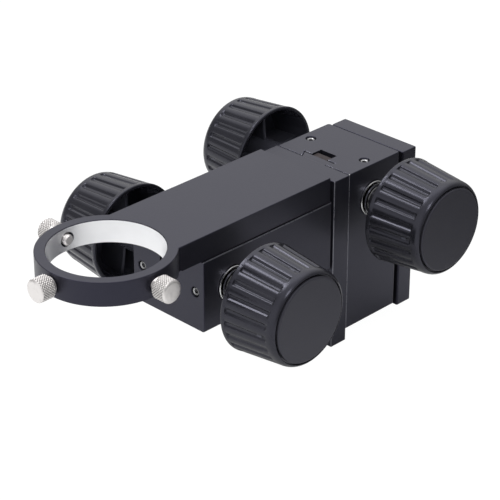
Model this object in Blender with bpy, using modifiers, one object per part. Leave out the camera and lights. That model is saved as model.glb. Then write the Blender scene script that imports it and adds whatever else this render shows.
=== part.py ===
"""XY translation stage: a ring arm carried by two rack-and-pinion slides set square to each other.

The rear slide stands on a mounting plate and lifts the front slide. The front slide lies flat
and runs the ring arm in and out. Both slides are the same module, turned differently, so each
piece of a module is modelled once, in the module's own frame: X along the pinion shaft, Y from
the slide face into the housing, Z along the travel, and the knob end of the housing at Z = 0.
The whole stage has its origin at the centre of the mounting plate's back face, with +X along
the knobs, +Y out of that face and +Z up. All sizes are in metres.
"""

import math

import bmesh
import bpy
from mathutils import Matrix

COLLECTION_NAME = "xy_translation_stage"

# Clearances
SEAT_GAP = 0.0003
SLIDE_GAP = 0.00035
RUNNING_GAP = 0.0002
CUT_OVERRUN = 0.001
JOIN_OVERLAP = 0.0006
WELD_DISTANCE = 0.000001

# Round pieces
ROUND_STEPS = 24
SMALL_STEPS = 10
SHARP_ANGLE = math.radians(35)
FLAT_ANGLE = math.radians(0.05)

# Housing of a module, and the dovetail that runs in it
HOUSING_WIDTH = 0.0440
HOUSING_DEPTH = 0.0341
HOUSING_LENGTH = 0.0800
HOUSING_BACK_RADIUS = 0.0013
HOUSING_FACE_CHAMFER = 0.0005
HOUSING_END_BEVEL = 0.0003
CORNER_STEPS = 4
TONGUE_NECK_WIDTH = 0.0234
TONGUE_DEPTH = 0.0040
DOVETAIL_ANGLE = math.radians(60)

# Rack and pinion of a module
SHAFT_FROM_FACE = 0.0160
SHAFT_FROM_END = 0.0169
SHAFT_RADIUS = 0.0040
GEAR_MODULE = 0.0010
PINION_TEETH = 14
PRESSURE_ANGLE = math.radians(20)
PINION_WIDTH = 0.0120
RACK_WIDTH = 0.0120
RACK_SHORTER = 0.0060
RACK_SIDE_CLEARANCE = 0.0008
RACK_TIP_CLEARANCE = 0.0005
TOOTH_FLANK_GAP = 0.00015
ADDENDUM = 0.0009
DEDENDUM = 0.0012
ROOT_WIDTH_SHARE = 0.72
PITCH_RADIUS = GEAR_MODULE * PINION_TEETH / 2

# Bushes, tension washers and the grub screws that lock the bushes
BUSH_RADIUS = 0.0082
BUSH_STAND_OUT = 0.0012
BUSH_CHAMFER = 0.0004
BUSH_SIDE_CLEARANCE = 0.0006
WASHER_RADIUS = 0.0072
WASHER_THICKNESS = 0.0030
LOCK_SCREW_RADIUS = 0.0020
LOCK_SCREW_FROM_SIDE = 0.0055
LOCK_SCREW_RECESS = 0.0006

# Knobs: a hollow fluted cone on a hub, closed by a cap that hides the centre screw
KNOB_MOUTH_RADIUS = 0.0245
KNOB_SHOULDER_RADIUS = 0.0219
KNOB_FACE_RADIUS = 0.0203
KNOB_LENGTH = 0.0279
KNOB_SHOULDER_LENGTH = 0.0033
KNOB_SHOULDER_STEPS = 3
KNOB_MOUTH_ROUNDING = 0.0005
KNOB_WALL = 0.0018
KNOB_CAVITY_FROM_FACE = 0.0069
KNOB_HUB_RADIUS = 0.0068
KNOB_HUB_REACH = 0.0123
KNOB_SHAFT_FROM_FACE = 0.0084
KNOB_SEAT_WALL = 0.0020
KNOB_RIB_COUNT = 4
KNOB_RIB_THICKNESS = 0.0016
KNOB_RIB_START = 0.0065
GROOVE_COUNT = 24
GROOVE_DEPTH = 0.0009
GROOVE_START = 0.0022
GROOVE_FROM_FACE = 0.0038
GROOVE_RUN_OUT = 0.0006
GROOVE_WIDTH_SHARE = 0.4
CAP_RADIUS = 0.0192
CAP_THICKNESS = 0.0013
CAP_PROUD = 0.0007
CAP_EDGE_CHAMFER = 0.0005
CAP_GROOVE_WIDTH = 0.0008
FRONT_KNOB_TURN = math.radians(5.5)
REAR_KNOB_TURN = math.radians(-2.0)

# Screws: shank radius, head radius and head height of each size
M4_RADIUS = 0.0020
M4_HEAD_RADIUS = 0.0035
M4_HEAD_HEIGHT = 0.0040
M4_KEY_RADIUS = 0.0017
M3_RADIUS = 0.0015
M3_HEAD_RADIUS = 0.0026
M3_HEAD_HEIGHT = 0.0015
M3_KEY_RADIUS = 0.0012
KNOB_SCREW_HEAD_RADIUS = 0.0040
KNOB_SCREW_HEAD_HEIGHT = 0.0026
KNOB_SCREW_REACH = 0.0090
KEY_DEPTH_SHARE = 0.5
KEY_SIDES = 6
THREAD_REACH = 0.0080
THREAD_TO_BUSH = 0.0019
RACK_SCREW_REACH = 0.0050
RACK_SCREW_INSET = 0.0060

# Mounting plate at the back of the rear housing, as wide as it
PLATE_LONGER = 0.0004
PLATE_THICKNESS = 0.0093
PLATE_PAD_HEIGHT = 0.0019
PLATE_PAD_FROM_SIDE = 0.0040
PLATE_PAD_FROM_END = 0.0042
PLATE_BEVEL = 0.0004
PLATE_SCREW_FROM_SIDE = 0.0090
PLATE_SCREW_FROM_END = 0.0102
STAND_HOLE_RADIUS = 0.0025
STAND_HOLE_DEPTH = 0.0075
STAND_HOLE_SPACING_X = 0.0200
STAND_HOLE_SPACING_Z = 0.0300
HOUSING_ABOVE_PLATE = 0.0012

# Lift plate between the two modules
LIFT_PLATE_WIDER = 0.0030
LIFT_PLATE_LONGER = 0.0060
LIFT_PLATE_THICKNESS = 0.00985
LIFT_PLATE_CORNER = 0.0022
LIFT_ABOVE_HOUSING = 0.0012
LIFT_TONGUE_SHORT = 0.0022
LIFT_SCREW_FROM_SIDE = 0.0055
LIFT_SCREW_FROM_FACE = 0.0070
LIFT_SCREW_FROM_BACK = 0.0061
FRONT_FACE_BELOW_LIFT_TOP = 0.0109

# Ring arm
ARM_NARROWER = 0.0010
ARM_THICKNESS = 0.01175
ARM_BEVEL = 0.0003
ARM_BACK_SHORT = 0.0015
ARM_TONGUE_INSET = 0.0005
RING_FROM_HOUSING = 0.00425
RING_BORE_RADIUS = 0.0250
RING_WALL = 0.00485
RING_HEIGHT = 0.0110
RING_STEPS = 48
ARM_RACK_START = 0.0030

# Thumb screws: their heads' outer faces stand at different distances from the ring
THUMB_STUD_RADIUS = 0.0025
THUMB_STUD_LENGTH = 0.0130
THUMB_TIP_CHAMFER = 0.0006
THUMB_HEAD_RADIUS = 0.0052
THUMB_HEAD_LENGTH = 0.0074
THUMB_HEAD_CHAMFER = 0.0008
THUMB_COLLAR_RADIUS = 0.0040
THUMB_COLLAR_LENGTH = 0.0011
THUMB_SCREW_LENGTH = 0.0152
THUMB_BELOW_TOP = 0.0055
THUMB_SCREWED_IN = 0.0003
THUMB_BACKED_OUT = 0.0013
THUMB_SCREWS = (
    ("front", 0.0, THUMB_SCREWED_IN),
    ("right", -math.pi / 2, THUMB_BACKED_OUT),
    ("left", math.pi / 2, THUMB_SCREWED_IN),
)

# Sizes that follow the housing's, so that the pieces stay in line with it
RACK_LENGTH = HOUSING_LENGTH - RACK_SHORTER
LOCK_SCREW_OFFSET = HOUSING_WIDTH / 2 - LOCK_SCREW_FROM_SIDE
PLATE_WIDTH = HOUSING_WIDTH
PLATE_HEIGHT = HOUSING_LENGTH + PLATE_LONGER
PLATE_SCREW_X = PLATE_WIDTH / 2 - PLATE_SCREW_FROM_SIDE
PLATE_SCREW_Z = PLATE_HEIGHT / 2 - PLATE_SCREW_FROM_END
PLATE_THREAD_REACH = HOUSING_DEPTH - SHAFT_FROM_FACE - BUSH_RADIUS - THREAD_TO_BUSH
LIFT_PLATE_WIDTH = HOUSING_WIDTH + LIFT_PLATE_WIDER
LIFT_PLATE_HEIGHT = HOUSING_LENGTH + LIFT_PLATE_LONGER
LIFT_SCREW_OFFSET = HOUSING_WIDTH / 2 - LIFT_SCREW_FROM_SIDE
LIFT_SCREW_DEPTHS = (LIFT_SCREW_FROM_FACE, HOUSING_DEPTH - LIFT_SCREW_FROM_BACK)
ARM_WIDTH = HOUSING_WIDTH - ARM_NARROWER

# Places inside a knob, measured from its mouth
KNOB_CAVITY_DEPTH = KNOB_LENGTH - KNOB_CAVITY_FROM_FACE
KNOB_SHAFT_ENTRY = KNOB_LENGTH - KNOB_SHAFT_FROM_FACE
GROOVE_END = KNOB_LENGTH - GROOVE_FROM_FACE

# The ring, measured from its own axis and from the front housing's end
RING_OUTER_RADIUS = RING_BORE_RADIUS + RING_WALL
RING_REACH = RING_OUTER_RADIUS + RING_FROM_HOUSING

# Places along the pinion shaft, measured from the middle of the module
BUSH_INNER_END = PINION_WIDTH / 2 + BUSH_SIDE_CLEARANCE
BUSH_OUTER_END = HOUSING_WIDTH / 2 + BUSH_STAND_OUT
WASHER_START = BUSH_OUTER_END + SEAT_GAP
HUB_START = WASHER_START + WASHER_THICKNESS + SEAT_GAP
KNOB_MOUTH = HUB_START + KNOB_HUB_REACH
SHAFT_END = KNOB_MOUTH + KNOB_SHAFT_ENTRY

# Places across a module, measured from its slide face into the housing
PITCH_LINE = SHAFT_FROM_FACE - PITCH_RADIUS
RACK_BACK = TONGUE_DEPTH + SEAT_GAP
RACK_ROOT = PITCH_LINE - DEDENDUM
RACK_TIP = PITCH_LINE + ADDENDUM
RACK_SCREW_SEAT = (RACK_BACK + RACK_ROOT) / 2
BUSH_BORE_RADIUS = BUSH_RADIUS + SEAT_GAP

FLAT_TO_XZ = Matrix.Rotation(math.pi / 2, 4, "X")
TURN_TO_X = Matrix.Rotation(math.pi / 2, 4, "Y")
TURN_TO_Y = Matrix.Rotation(-math.pi / 2, 4, "X")


def clear_scene():
    for obj in list(bpy.data.objects):
        bpy.data.objects.remove(obj, do_unlink=True)


def new_collection(name):
    collection = bpy.data.collections.new(name)
    bpy.context.scene.collection.children.link(collection)
    return collection


def new_material(name, colour, roughness, metallic):
    material = bpy.data.materials.new(name)
    material.use_nodes = True
    shader = material.node_tree.nodes["Principled BSDF"]
    shader.inputs["Base Color"].default_value = (*colour, 1.0)
    shader.inputs["Roughness"].default_value = roughness
    shader.inputs["Metallic"].default_value = metallic
    material.diffuse_color = (*colour, 1.0)
    return material


def cleaned(mesh):
    """Welds the seams that curves and sweeps leave, and turns every face outwards."""
    work = bmesh.new()
    work.from_mesh(mesh)
    bmesh.ops.remove_doubles(work, verts=work.verts, dist=WELD_DISTANCE)
    bmesh.ops.dissolve_limit(work, angle_limit=FLAT_ANGLE, verts=work.verts, edges=work.edges)
    bmesh.ops.recalc_face_normals(work, faces=work.faces)
    work.to_mesh(mesh)
    work.free()
    return mesh


def evaluated_mesh(obj):
    """The mesh that an object's modifiers or curve settings give. The object is removed."""
    bpy.context.view_layer.update()
    graph = bpy.context.evaluated_depsgraph_get()
    mesh = bpy.data.meshes.new_from_object(obj.evaluated_get(graph))
    bpy.data.objects.remove(obj, do_unlink=True)
    return cleaned(mesh)


def loose_object(name, data):
    obj = bpy.data.objects.new(name, data)
    bpy.context.scene.collection.objects.link(obj)
    return obj


def moved(mesh, *matrices):
    for matrix in matrices:
        mesh.transform(matrix)
    return mesh


def shift(x=0.0, y=0.0, z=0.0):
    return Matrix.Translation((x, y, z))


def prism(outlines, low, high, matrix=None):
    """Flat outlines in X and Y, filled and raised from low to high along Z."""
    curve = bpy.data.curves.new("outline", "CURVE")
    curve.dimensions = "2D"
    curve.fill_mode = "BOTH"
    curve.extrude = (high - low) / 2
    for outline in outlines:
        spline = curve.splines.new("POLY")
        spline.points.add(len(outline) - 1)
        for point, (x, y) in zip(spline.points, outline):
            point.co = (x, y, 0.0, 1.0)
        spline.use_cyclic_u = True
    mesh = evaluated_mesh(loose_object("outline", curve))
    moved(mesh, shift(z=(high + low) / 2))
    return mesh if matrix is None else moved(mesh, matrix)


def turned(profile, steps=ROUND_STEPS, ring=False):
    """A profile of (radius, height) points, run down its outer side, swept about Z."""
    mesh = bpy.data.meshes.new("profile")
    edges = [(i, i + 1) for i in range(len(profile) - 1)]
    if ring:
        edges.append((len(profile) - 1, 0))
    mesh.from_pydata([(radius, 0.0, height) for radius, height in profile], edges, [])
    obj = loose_object("profile", mesh)
    sweep = obj.modifiers.new("sweep", "SCREW")
    sweep.steps = steps
    sweep.render_steps = steps
    sweep.use_merge_vertices = True
    sweep.merge_threshold = WELD_DISTANCE
    return evaluated_mesh(obj)


def rod(radius, low, high, steps=ROUND_STEPS):
    """A plain cylinder along Z."""
    mesh = bpy.data.meshes.new("rod")
    work = bmesh.new()
    bmesh.ops.create_cone(
        work, cap_ends=True, segments=steps, radius1=radius, radius2=radius, depth=high - low
    )
    work.to_mesh(mesh)
    work.free()
    return moved(mesh, shift(z=(high + low) / 2))


def box(x_size, y_size, z_size, centre):
    mesh = bpy.data.meshes.new("box")
    work = bmesh.new()
    bmesh.ops.create_cube(work, size=1.0)
    work.to_mesh(mesh)
    work.free()
    return moved(mesh, Matrix.Diagonal((x_size, y_size, z_size, 1.0)), Matrix.Translation(centre))


def joined(meshes):
    """Shapes that stay apart, in one mesh, so that one cut takes them all."""
    work = bmesh.new()
    for mesh in meshes:
        work.from_mesh(mesh)
    result = bpy.data.meshes.new("joined")
    work.to_mesh(result)
    work.free()
    return result


def combined(mesh, others, operation):
    body = loose_object("body", mesh)
    helpers = [loose_object("helper", other) for other in others]
    for helper in helpers:
        boolean = body.modifiers.new("boolean", "BOOLEAN")
        boolean.operation = operation
        boolean.object = helper
    result = evaluated_mesh(body)
    for helper in helpers:
        bpy.data.objects.remove(helper, do_unlink=True)
    return result


def cut(mesh, *cutters):
    return combined(mesh, cutters, "DIFFERENCE")


def fused(mesh, *additions):
    return combined(mesh, additions, "UNION")


def bevel_ends(mesh, width):
    """Chamfers the edges round the two flat ends of a prism along Z."""
    work = bmesh.new()
    work.from_mesh(mesh)
    heights = [vert.co.z for vert in work.verts]
    ends = (min(heights), max(heights))

    def on_end(edge):
        return any(
            all(abs(vert.co.z - end) < WELD_DISTANCE for vert in edge.verts)
            and any(abs(face.normal.z) < 0.5 for face in edge.link_faces)
            for end in ends
        )

    edges = [edge for edge in work.edges if on_end(edge)]
    bmesh.ops.bevel(work, geom=edges, offset=width, segments=1, affect="EDGES", clamp_overlap=False)
    work.to_mesh(mesh)
    work.free()
    return mesh


def arc(centre, radius, start, end, steps):
    """Points on a circle, from one angle to another."""
    return [
        (
            centre[0] + radius * math.cos(start + (end - start) * i / steps),
            centre[1] + radius * math.sin(start + (end - start) * i / steps),
        )
        for i in range(steps + 1)
    ]


def rounded_corners(half_width, low, high, radius):
    """The outline of an upright rectangle with four rounded corners."""
    quarter = math.pi / 2
    centres = (
        (half_width - radius, low + radius, -quarter),
        (half_width - radius, high - radius, 0.0),
        (-half_width + radius, high - radius, quarter),
        (-half_width + radius, low + radius, 2 * quarter),
    )
    outline = []
    for x, y, start in centres:
        outline += arc((x, y), radius, start, start + quarter, CORNER_STEPS)
    return outline


def dovetail_half_width(depth, gap=0.0):
    """Half the tongue's width at a depth below the slide face, or the channel's with a gap."""
    flare = (depth + SLIDE_GAP) / math.tan(DOVETAIL_ANGLE)
    return TONGUE_NECK_WIDTH / 2 + flare + gap / math.sin(DOVETAIL_ANGLE)


def tongue_outline(root):
    """The tongue's section in X and Y. Its root reaches into the plate that carries it."""
    neck = dovetail_half_width(-SLIDE_GAP)
    base = dovetail_half_width(TONGUE_DEPTH)
    return [
        (neck, root),
        (neck, -SLIDE_GAP),
        (base, TONGUE_DEPTH),
        (-base, TONGUE_DEPTH),
        (-neck, -SLIDE_GAP),
        (-neck, root),
    ]


def cap_screw(reach, shank_radius, head_radius, head_height, key_radius):
    """A screw along Z with its head up, its seat at Z = 0 and a hexagon socket."""
    mesh = turned(
        [
            (0.0, head_height),
            (head_radius, head_height),
            (head_radius, 0.0),
            (shank_radius, 0.0),
            (shank_radius, -reach),
            (0.0, -reach),
        ],
        SMALL_STEPS,
    )
    key_floor = head_height * (1 - KEY_DEPTH_SHARE)
    return cut(mesh, rod(key_radius, key_floor, head_height + CUT_OVERRUN, KEY_SIDES))


def screw_hole(reach, shank_radius, head_radius, head_room, through=0.0):
    """The cutter for a screw: a hole below its seat, and a pocket for its head above it."""
    hole = shank_radius + SEAT_GAP
    pocket = head_radius + SEAT_GAP
    top = head_room + CUT_OVERRUN
    bottom = reach + SEAT_GAP + through
    return turned(
        [(0.0, top), (pocket, top), (pocket, 0.0), (hole, 0.0), (hole, -bottom), (0.0, -bottom)],
        SMALL_STEPS,
    )


def housing_outline():
    """The housing's section: a block with the dovetail channel and the rack's pocket in it."""
    half = HOUSING_WIDTH / 2
    neck = dovetail_half_width(0.0, SLIDE_GAP)
    floor = TONGUE_DEPTH + SLIDE_GAP
    base = dovetail_half_width(floor, SLIDE_GAP)
    pocket = RACK_WIDTH / 2 + RACK_SIDE_CLEARANCE
    pocket_floor = RACK_TIP + RACK_TIP_CLEARANCE
    radius = HOUSING_BACK_RADIUS
    right = [
        (pocket, pocket_floor),
        (pocket, floor),
        (base, floor),
        (neck, 0.0),
        (half - HOUSING_FACE_CHAMFER, 0.0),
        (half, HOUSING_FACE_CHAMFER),
    ]
    right += arc((half - radius, HOUSING_DEPTH - radius), radius, 0.0, math.pi / 2, CORNER_STEPS)
    return right + [(-x, y) for x, y in reversed(right)]


def housing_mesh(screw_holes):
    """One housing, bored across for the pinion shaft and drilled for its lock screws."""
    mesh = bevel_ends(prism([housing_outline()], -HOUSING_LENGTH, 0.0), HOUSING_END_BEVEL)
    half = HOUSING_WIDTH / 2 + CUT_OVERRUN
    bore = rod(BUSH_BORE_RADIUS, -half, half)
    moved(bore, TURN_TO_X, shift(y=SHAFT_FROM_FACE, z=-SHAFT_FROM_END))
    lock_holes = [
        moved(
            rod(LOCK_SCREW_RADIUS + SEAT_GAP, -SHAFT_FROM_END, CUT_OVERRUN, SMALL_STEPS),
            shift(x=side * LOCK_SCREW_OFFSET, y=SHAFT_FROM_FACE),
        )
        for side in (-1, 1)
    ]
    return cut(mesh, bore, joined(lock_holes), joined(screw_holes))


def lock_screw_mesh():
    """A grub screw from just inside the end face down to the bush."""
    top = -LOCK_SCREW_RECESS
    bottom = -(SHAFT_FROM_END - BUSH_RADIUS - SEAT_GAP)
    mesh = rod(LOCK_SCREW_RADIUS, bottom, top, SMALL_STEPS)
    key_floor = top - LOCK_SCREW_RADIUS
    return cut(mesh, rod(M3_KEY_RADIUS, key_floor, top + CUT_OVERRUN, KEY_SIDES))


def bush_mesh():
    """A steel sleeve along X, from beside the pinion to just outside the housing."""
    bore = SHAFT_RADIUS + RUNNING_GAP
    profile = [
        (BUSH_RADIUS - BUSH_CHAMFER, BUSH_OUTER_END),
        (BUSH_RADIUS, BUSH_OUTER_END - BUSH_CHAMFER),
        (BUSH_RADIUS, BUSH_INNER_END),
        (bore, BUSH_INNER_END),
        (bore, BUSH_OUTER_END),
    ]
    return moved(turned(profile, ring=True), TURN_TO_X)


def washer_mesh():
    bore = SHAFT_RADIUS + SEAT_GAP
    end = WASHER_START + WASHER_THICKNESS
    profile = [
        (WASHER_RADIUS - BUSH_CHAMFER, end),
        (WASHER_RADIUS, end - BUSH_CHAMFER),
        (WASHER_RADIUS, WASHER_START),
        (bore, WASHER_START),
        (bore, end),
    ]
    return moved(turned(profile, ring=True), TURN_TO_X)


def involute(angle):
    return math.tan(angle) - angle


def pinion_outline():
    """Fourteen involute teeth, the first one pointing along +X."""
    base_radius = PITCH_RADIUS * math.cos(PRESSURE_ANGLE)
    tip_radius = PITCH_RADIUS + ADDENDUM
    root_radius = PITCH_RADIUS - DEDENDUM
    pitch_half_angle = math.pi / (2 * PINION_TEETH) - TOOTH_FLANK_GAP / PITCH_RADIUS

    def half_angle(radius):
        pressure = math.acos(min(1.0, base_radius / radius))
        return pitch_half_angle + involute(PRESSURE_ANGLE) - involute(pressure)

    flank = [
        (root_radius, half_angle(base_radius) * ROOT_WIDTH_SHARE),
        (base_radius, half_angle(base_radius)),
        (PITCH_RADIUS, half_angle(PITCH_RADIUS)),
        (tip_radius, half_angle(tip_radius)),
    ]
    outline = []
    for tooth in range(PINION_TEETH):
        middle = 2 * math.pi * tooth / PINION_TEETH
        angles = [(radius, middle - angle) for radius, angle in flank]
        angles += [(radius, middle + angle) for radius, angle in reversed(flank)]
        outline += [(radius * math.cos(angle), radius * math.sin(angle)) for radius, angle in angles]
    return outline


def pinion_shaft_mesh():
    """The pinion and its shaft in one piece, tapped at both ends for the knob screws."""
    gear = prism([pinion_outline()], -PINION_WIDTH / 2, PINION_WIDTH / 2)
    shaft = rod(SHAFT_RADIUS, -SHAFT_END, SHAFT_END)
    tapped = M4_RADIUS + SEAT_GAP
    depth = KNOB_SCREW_REACH + SEAT_GAP
    holes = [
        rod(tapped, SHAFT_END - depth, SHAFT_END + CUT_OVERRUN, SMALL_STEPS),
        rod(tapped, -SHAFT_END - CUT_OVERRUN, depth - SHAFT_END, SMALL_STEPS),
    ]
    # The first tooth turns from +X to -Z here, then with the shaft's turn to -Y, towards the rack.
    mesh = moved(cut(fused(gear, shaft), joined(holes)), TURN_TO_X)
    return moved(mesh, Matrix.Rotation(-math.pi / 2, 4, "X"))


def rack_outline(low, high, mesh_point):
    """A rack from low to high along the travel, with a tooth gap at the pinion's centre."""
    pitch = math.pi * GEAR_MODULE
    slope = math.tan(PRESSURE_ANGLE)
    half_at_pitch = pitch / 4 - TOOTH_FLANK_GAP
    half_at_tip = half_at_pitch - ADDENDUM * slope
    half_at_root = half_at_pitch + DEDENDUM * slope
    first = math.ceil((low - mesh_point) / pitch)
    last = math.floor((high - mesh_point) / pitch)
    outline = [(low, RACK_BACK), (low, RACK_ROOT)]
    for gap in range(first, last):
        middle = mesh_point + (gap + 0.5) * pitch
        outline += [
            (middle - half_at_root, RACK_ROOT),
            (middle - half_at_tip, RACK_TIP),
            (middle + half_at_tip, RACK_TIP),
            (middle + half_at_root, RACK_ROOT),
        ]
    return outline + [(high, RACK_ROOT), (high, RACK_BACK)]


def rack_screw_places(top):
    """Where the two rack screws are along the travel, for a rack whose upper end is at top."""
    return (top - RACK_SCREW_INSET, top - RACK_LENGTH + RACK_SCREW_INSET)


def rack_mesh(top, mesh_point):
    """The rack, flat on the tongue, with two stepped holes for its screws."""
    outline = rack_outline(top - RACK_LENGTH, top, mesh_point)
    turn = Matrix.Rotation(-math.pi / 2, 4, "Y")
    bar = prism([outline], -RACK_WIDTH / 2, RACK_WIDTH / 2, turn)
    room = RACK_TIP - RACK_SCREW_SEAT
    through = RACK_SCREW_SEAT - RACK_BACK + CUT_OVERRUN
    holes = [
        moved(
            screw_hole(0.0, M3_RADIUS, M3_HEAD_RADIUS, room, through),
            TURN_TO_Y,
            shift(y=RACK_SCREW_SEAT, z=place),
        )
        for place in rack_screw_places(top)
    ]
    return cut(bar, joined(holes))


def tapped_rack_holes(top):
    """Cutters for the rack screws' threads in the tongue."""
    depth = RACK_SCREW_SEAT - RACK_SCREW_REACH
    return [
        moved(
            rod(M3_RADIUS + SEAT_GAP, depth - SEAT_GAP, TONGUE_DEPTH + CUT_OVERRUN, SMALL_STEPS),
            TURN_TO_Y,
            shift(z=place),
        )
        for place in rack_screw_places(top)
    ]


def knob_radius(distance):
    """The cone's radius at a distance from the knob's mouth, before its shoulder."""
    cone_length = KNOB_LENGTH - KNOB_SHOULDER_LENGTH
    taper = (KNOB_MOUTH_RADIUS - KNOB_SHOULDER_RADIUS) / cone_length
    return KNOB_MOUTH_RADIUS - taper * distance


def knob_stations():
    """Distance from the mouth, radius and groove depth of each ring of the knob's outside."""
    stations = [
        (0.0, KNOB_MOUTH_RADIUS - KNOB_MOUTH_ROUNDING, 0.0),
        (GROOVE_START, knob_radius(GROOVE_START), 0.0),
        (GROOVE_START + GROOVE_RUN_OUT, knob_radius(GROOVE_START + GROOVE_RUN_OUT), GROOVE_DEPTH),
        (GROOVE_END - GROOVE_RUN_OUT, knob_radius(GROOVE_END - GROOVE_RUN_OUT), GROOVE_DEPTH),
        (GROOVE_END, knob_radius(GROOVE_END), 0.0),
    ]
    drop = KNOB_SHOULDER_RADIUS - KNOB_FACE_RADIUS
    for step in range(KNOB_SHOULDER_STEPS + 1):
        turn = math.pi / 2 * step / KNOB_SHOULDER_STEPS
        distance = KNOB_LENGTH - KNOB_SHOULDER_LENGTH * (1 - math.sin(turn))
        stations.append((distance, KNOB_FACE_RADIUS + drop * math.cos(turn), 0.0))
    return stations


def fluted_cone():
    """A loft along Z from a round mouth through the grooved grip to a rounded shoulder."""
    pitch = 2 * math.pi / GROOVE_COUNT
    edge = pitch * GROOVE_WIDTH_SHARE / 2
    work = bmesh.new()
    rings = []
    for distance, land, depth in knob_stations():
        ring = []
        for groove in range(GROOVE_COUNT):
            for angle, radius in ((-edge, land), (0.0, land - depth), (edge, land)):
                turn = groove * pitch + angle
                corner = (radius * math.cos(turn), radius * math.sin(turn), distance)
                ring.append(work.verts.new(corner))
        rings.append(ring)
    for lower, upper in zip(rings, rings[1:]):
        for i in range(len(lower)):
            j = (i + 1) % len(lower)
            work.faces.new((lower[i], lower[j], upper[j], upper[i]))
    work.faces.new(rings[0])
    work.faces.new(rings[-1])
    mesh = bpy.data.meshes.new("fluted_cone")
    work.to_mesh(mesh)
    work.free()
    return cleaned(mesh)


def knob_ribs():
    """Thin webs from the hub to the wall, at the closed end of the cavity."""
    hub = KNOB_HUB_RADIUS - JOIN_OVERLAP
    end = KNOB_CAVITY_DEPTH + JOIN_OVERLAP
    wall_at_start = knob_radius(KNOB_RIB_START) - KNOB_WALL + JOIN_OVERLAP
    wall_at_end = knob_radius(end) - KNOB_WALL + JOIN_OVERLAP
    outline = [(hub, KNOB_RIB_START), (wall_at_start, KNOB_RIB_START), (wall_at_end, end), (hub, end)]
    return [
        prism(
            [outline],
            -KNOB_RIB_THICKNESS / 2,
            KNOB_RIB_THICKNESS / 2,
            Matrix.Rotation(2 * math.pi * rib / KNOB_RIB_COUNT, 4, "Z") @ FLAT_TO_XZ,
        )
        for rib in range(KNOB_RIB_COUNT)
    ]


def knob_mesh(turn):
    """One knob along X for the right-hand end of the shaft, its grooves turned by an angle."""
    cavity_end = knob_radius(KNOB_CAVITY_DEPTH) - KNOB_WALL
    mouth = knob_radius(-CUT_OVERRUN) - KNOB_WALL
    cavity = turned(
        [
            (0.0, KNOB_CAVITY_DEPTH),
            (cavity_end, KNOB_CAVITY_DEPTH),
            (mouth, -CUT_OVERRUN),
            (0.0, -CUT_OVERRUN),
        ]
    )
    hub = rod(KNOB_HUB_RADIUS, -KNOB_HUB_REACH, KNOB_CAVITY_DEPTH + JOIN_OVERLAP)
    shell = fused(cut(fluted_cone(), cavity), hub)
    shell = fused(shell, joined(knob_ribs()))
    recess_floor = KNOB_LENGTH + CAP_PROUD - CAP_THICKNESS - SEAT_GAP
    pocket_floor = KNOB_SHAFT_ENTRY + SEAT_GAP + KNOB_SEAT_WALL
    bore = SHAFT_RADIUS + SEAT_GAP
    recess = CAP_RADIUS + CAP_GROOVE_WIDTH
    pocket = KNOB_SCREW_HEAD_RADIUS + SEAT_GAP
    hole = M4_RADIUS + SEAT_GAP
    through = turned(
        [
            (0.0, KNOB_LENGTH + CUT_OVERRUN),
            (recess, KNOB_LENGTH + CUT_OVERRUN),
            (recess, recess_floor),
            (pocket, recess_floor),
            (pocket, pocket_floor),
            (hole, pocket_floor),
            (hole, KNOB_SHAFT_ENTRY + SEAT_GAP),
            (bore, KNOB_SHAFT_ENTRY + SEAT_GAP),
            (bore, -KNOB_HUB_REACH - CUT_OVERRUN),
            (0.0, -KNOB_HUB_REACH - CUT_OVERRUN),
        ]
    )
    mesh = cut(shell, through)
    return moved(mesh, Matrix.Rotation(turn, 4, "Z"), TURN_TO_X, shift(x=KNOB_MOUTH))


def knob_screw_mesh():
    seat = KNOB_MOUTH + KNOB_SHAFT_ENTRY + SEAT_GAP + KNOB_SEAT_WALL + SEAT_GAP
    reach = seat - SHAFT_END + KNOB_SCREW_REACH - SEAT_GAP
    screw = cap_screw(
        reach, M4_RADIUS, KNOB_SCREW_HEAD_RADIUS, KNOB_SCREW_HEAD_HEIGHT, M4_KEY_RADIUS
    )
    return moved(screw, TURN_TO_X, shift(x=seat))


def knob_cap_mesh():
    """The disc that closes the knob's face, standing in its recess with a groove round it."""
    disc = turned(
        [
            (0.0, 0.0),
            (CAP_RADIUS - CAP_EDGE_CHAMFER, 0.0),
            (CAP_RADIUS, -CAP_EDGE_CHAMFER),
            (CAP_RADIUS, -CAP_THICKNESS),
            (0.0, -CAP_THICKNESS),
        ]
    )
    return moved(disc, TURN_TO_X, shift(x=KNOB_MOUTH + KNOB_LENGTH + CAP_PROUD))


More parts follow.
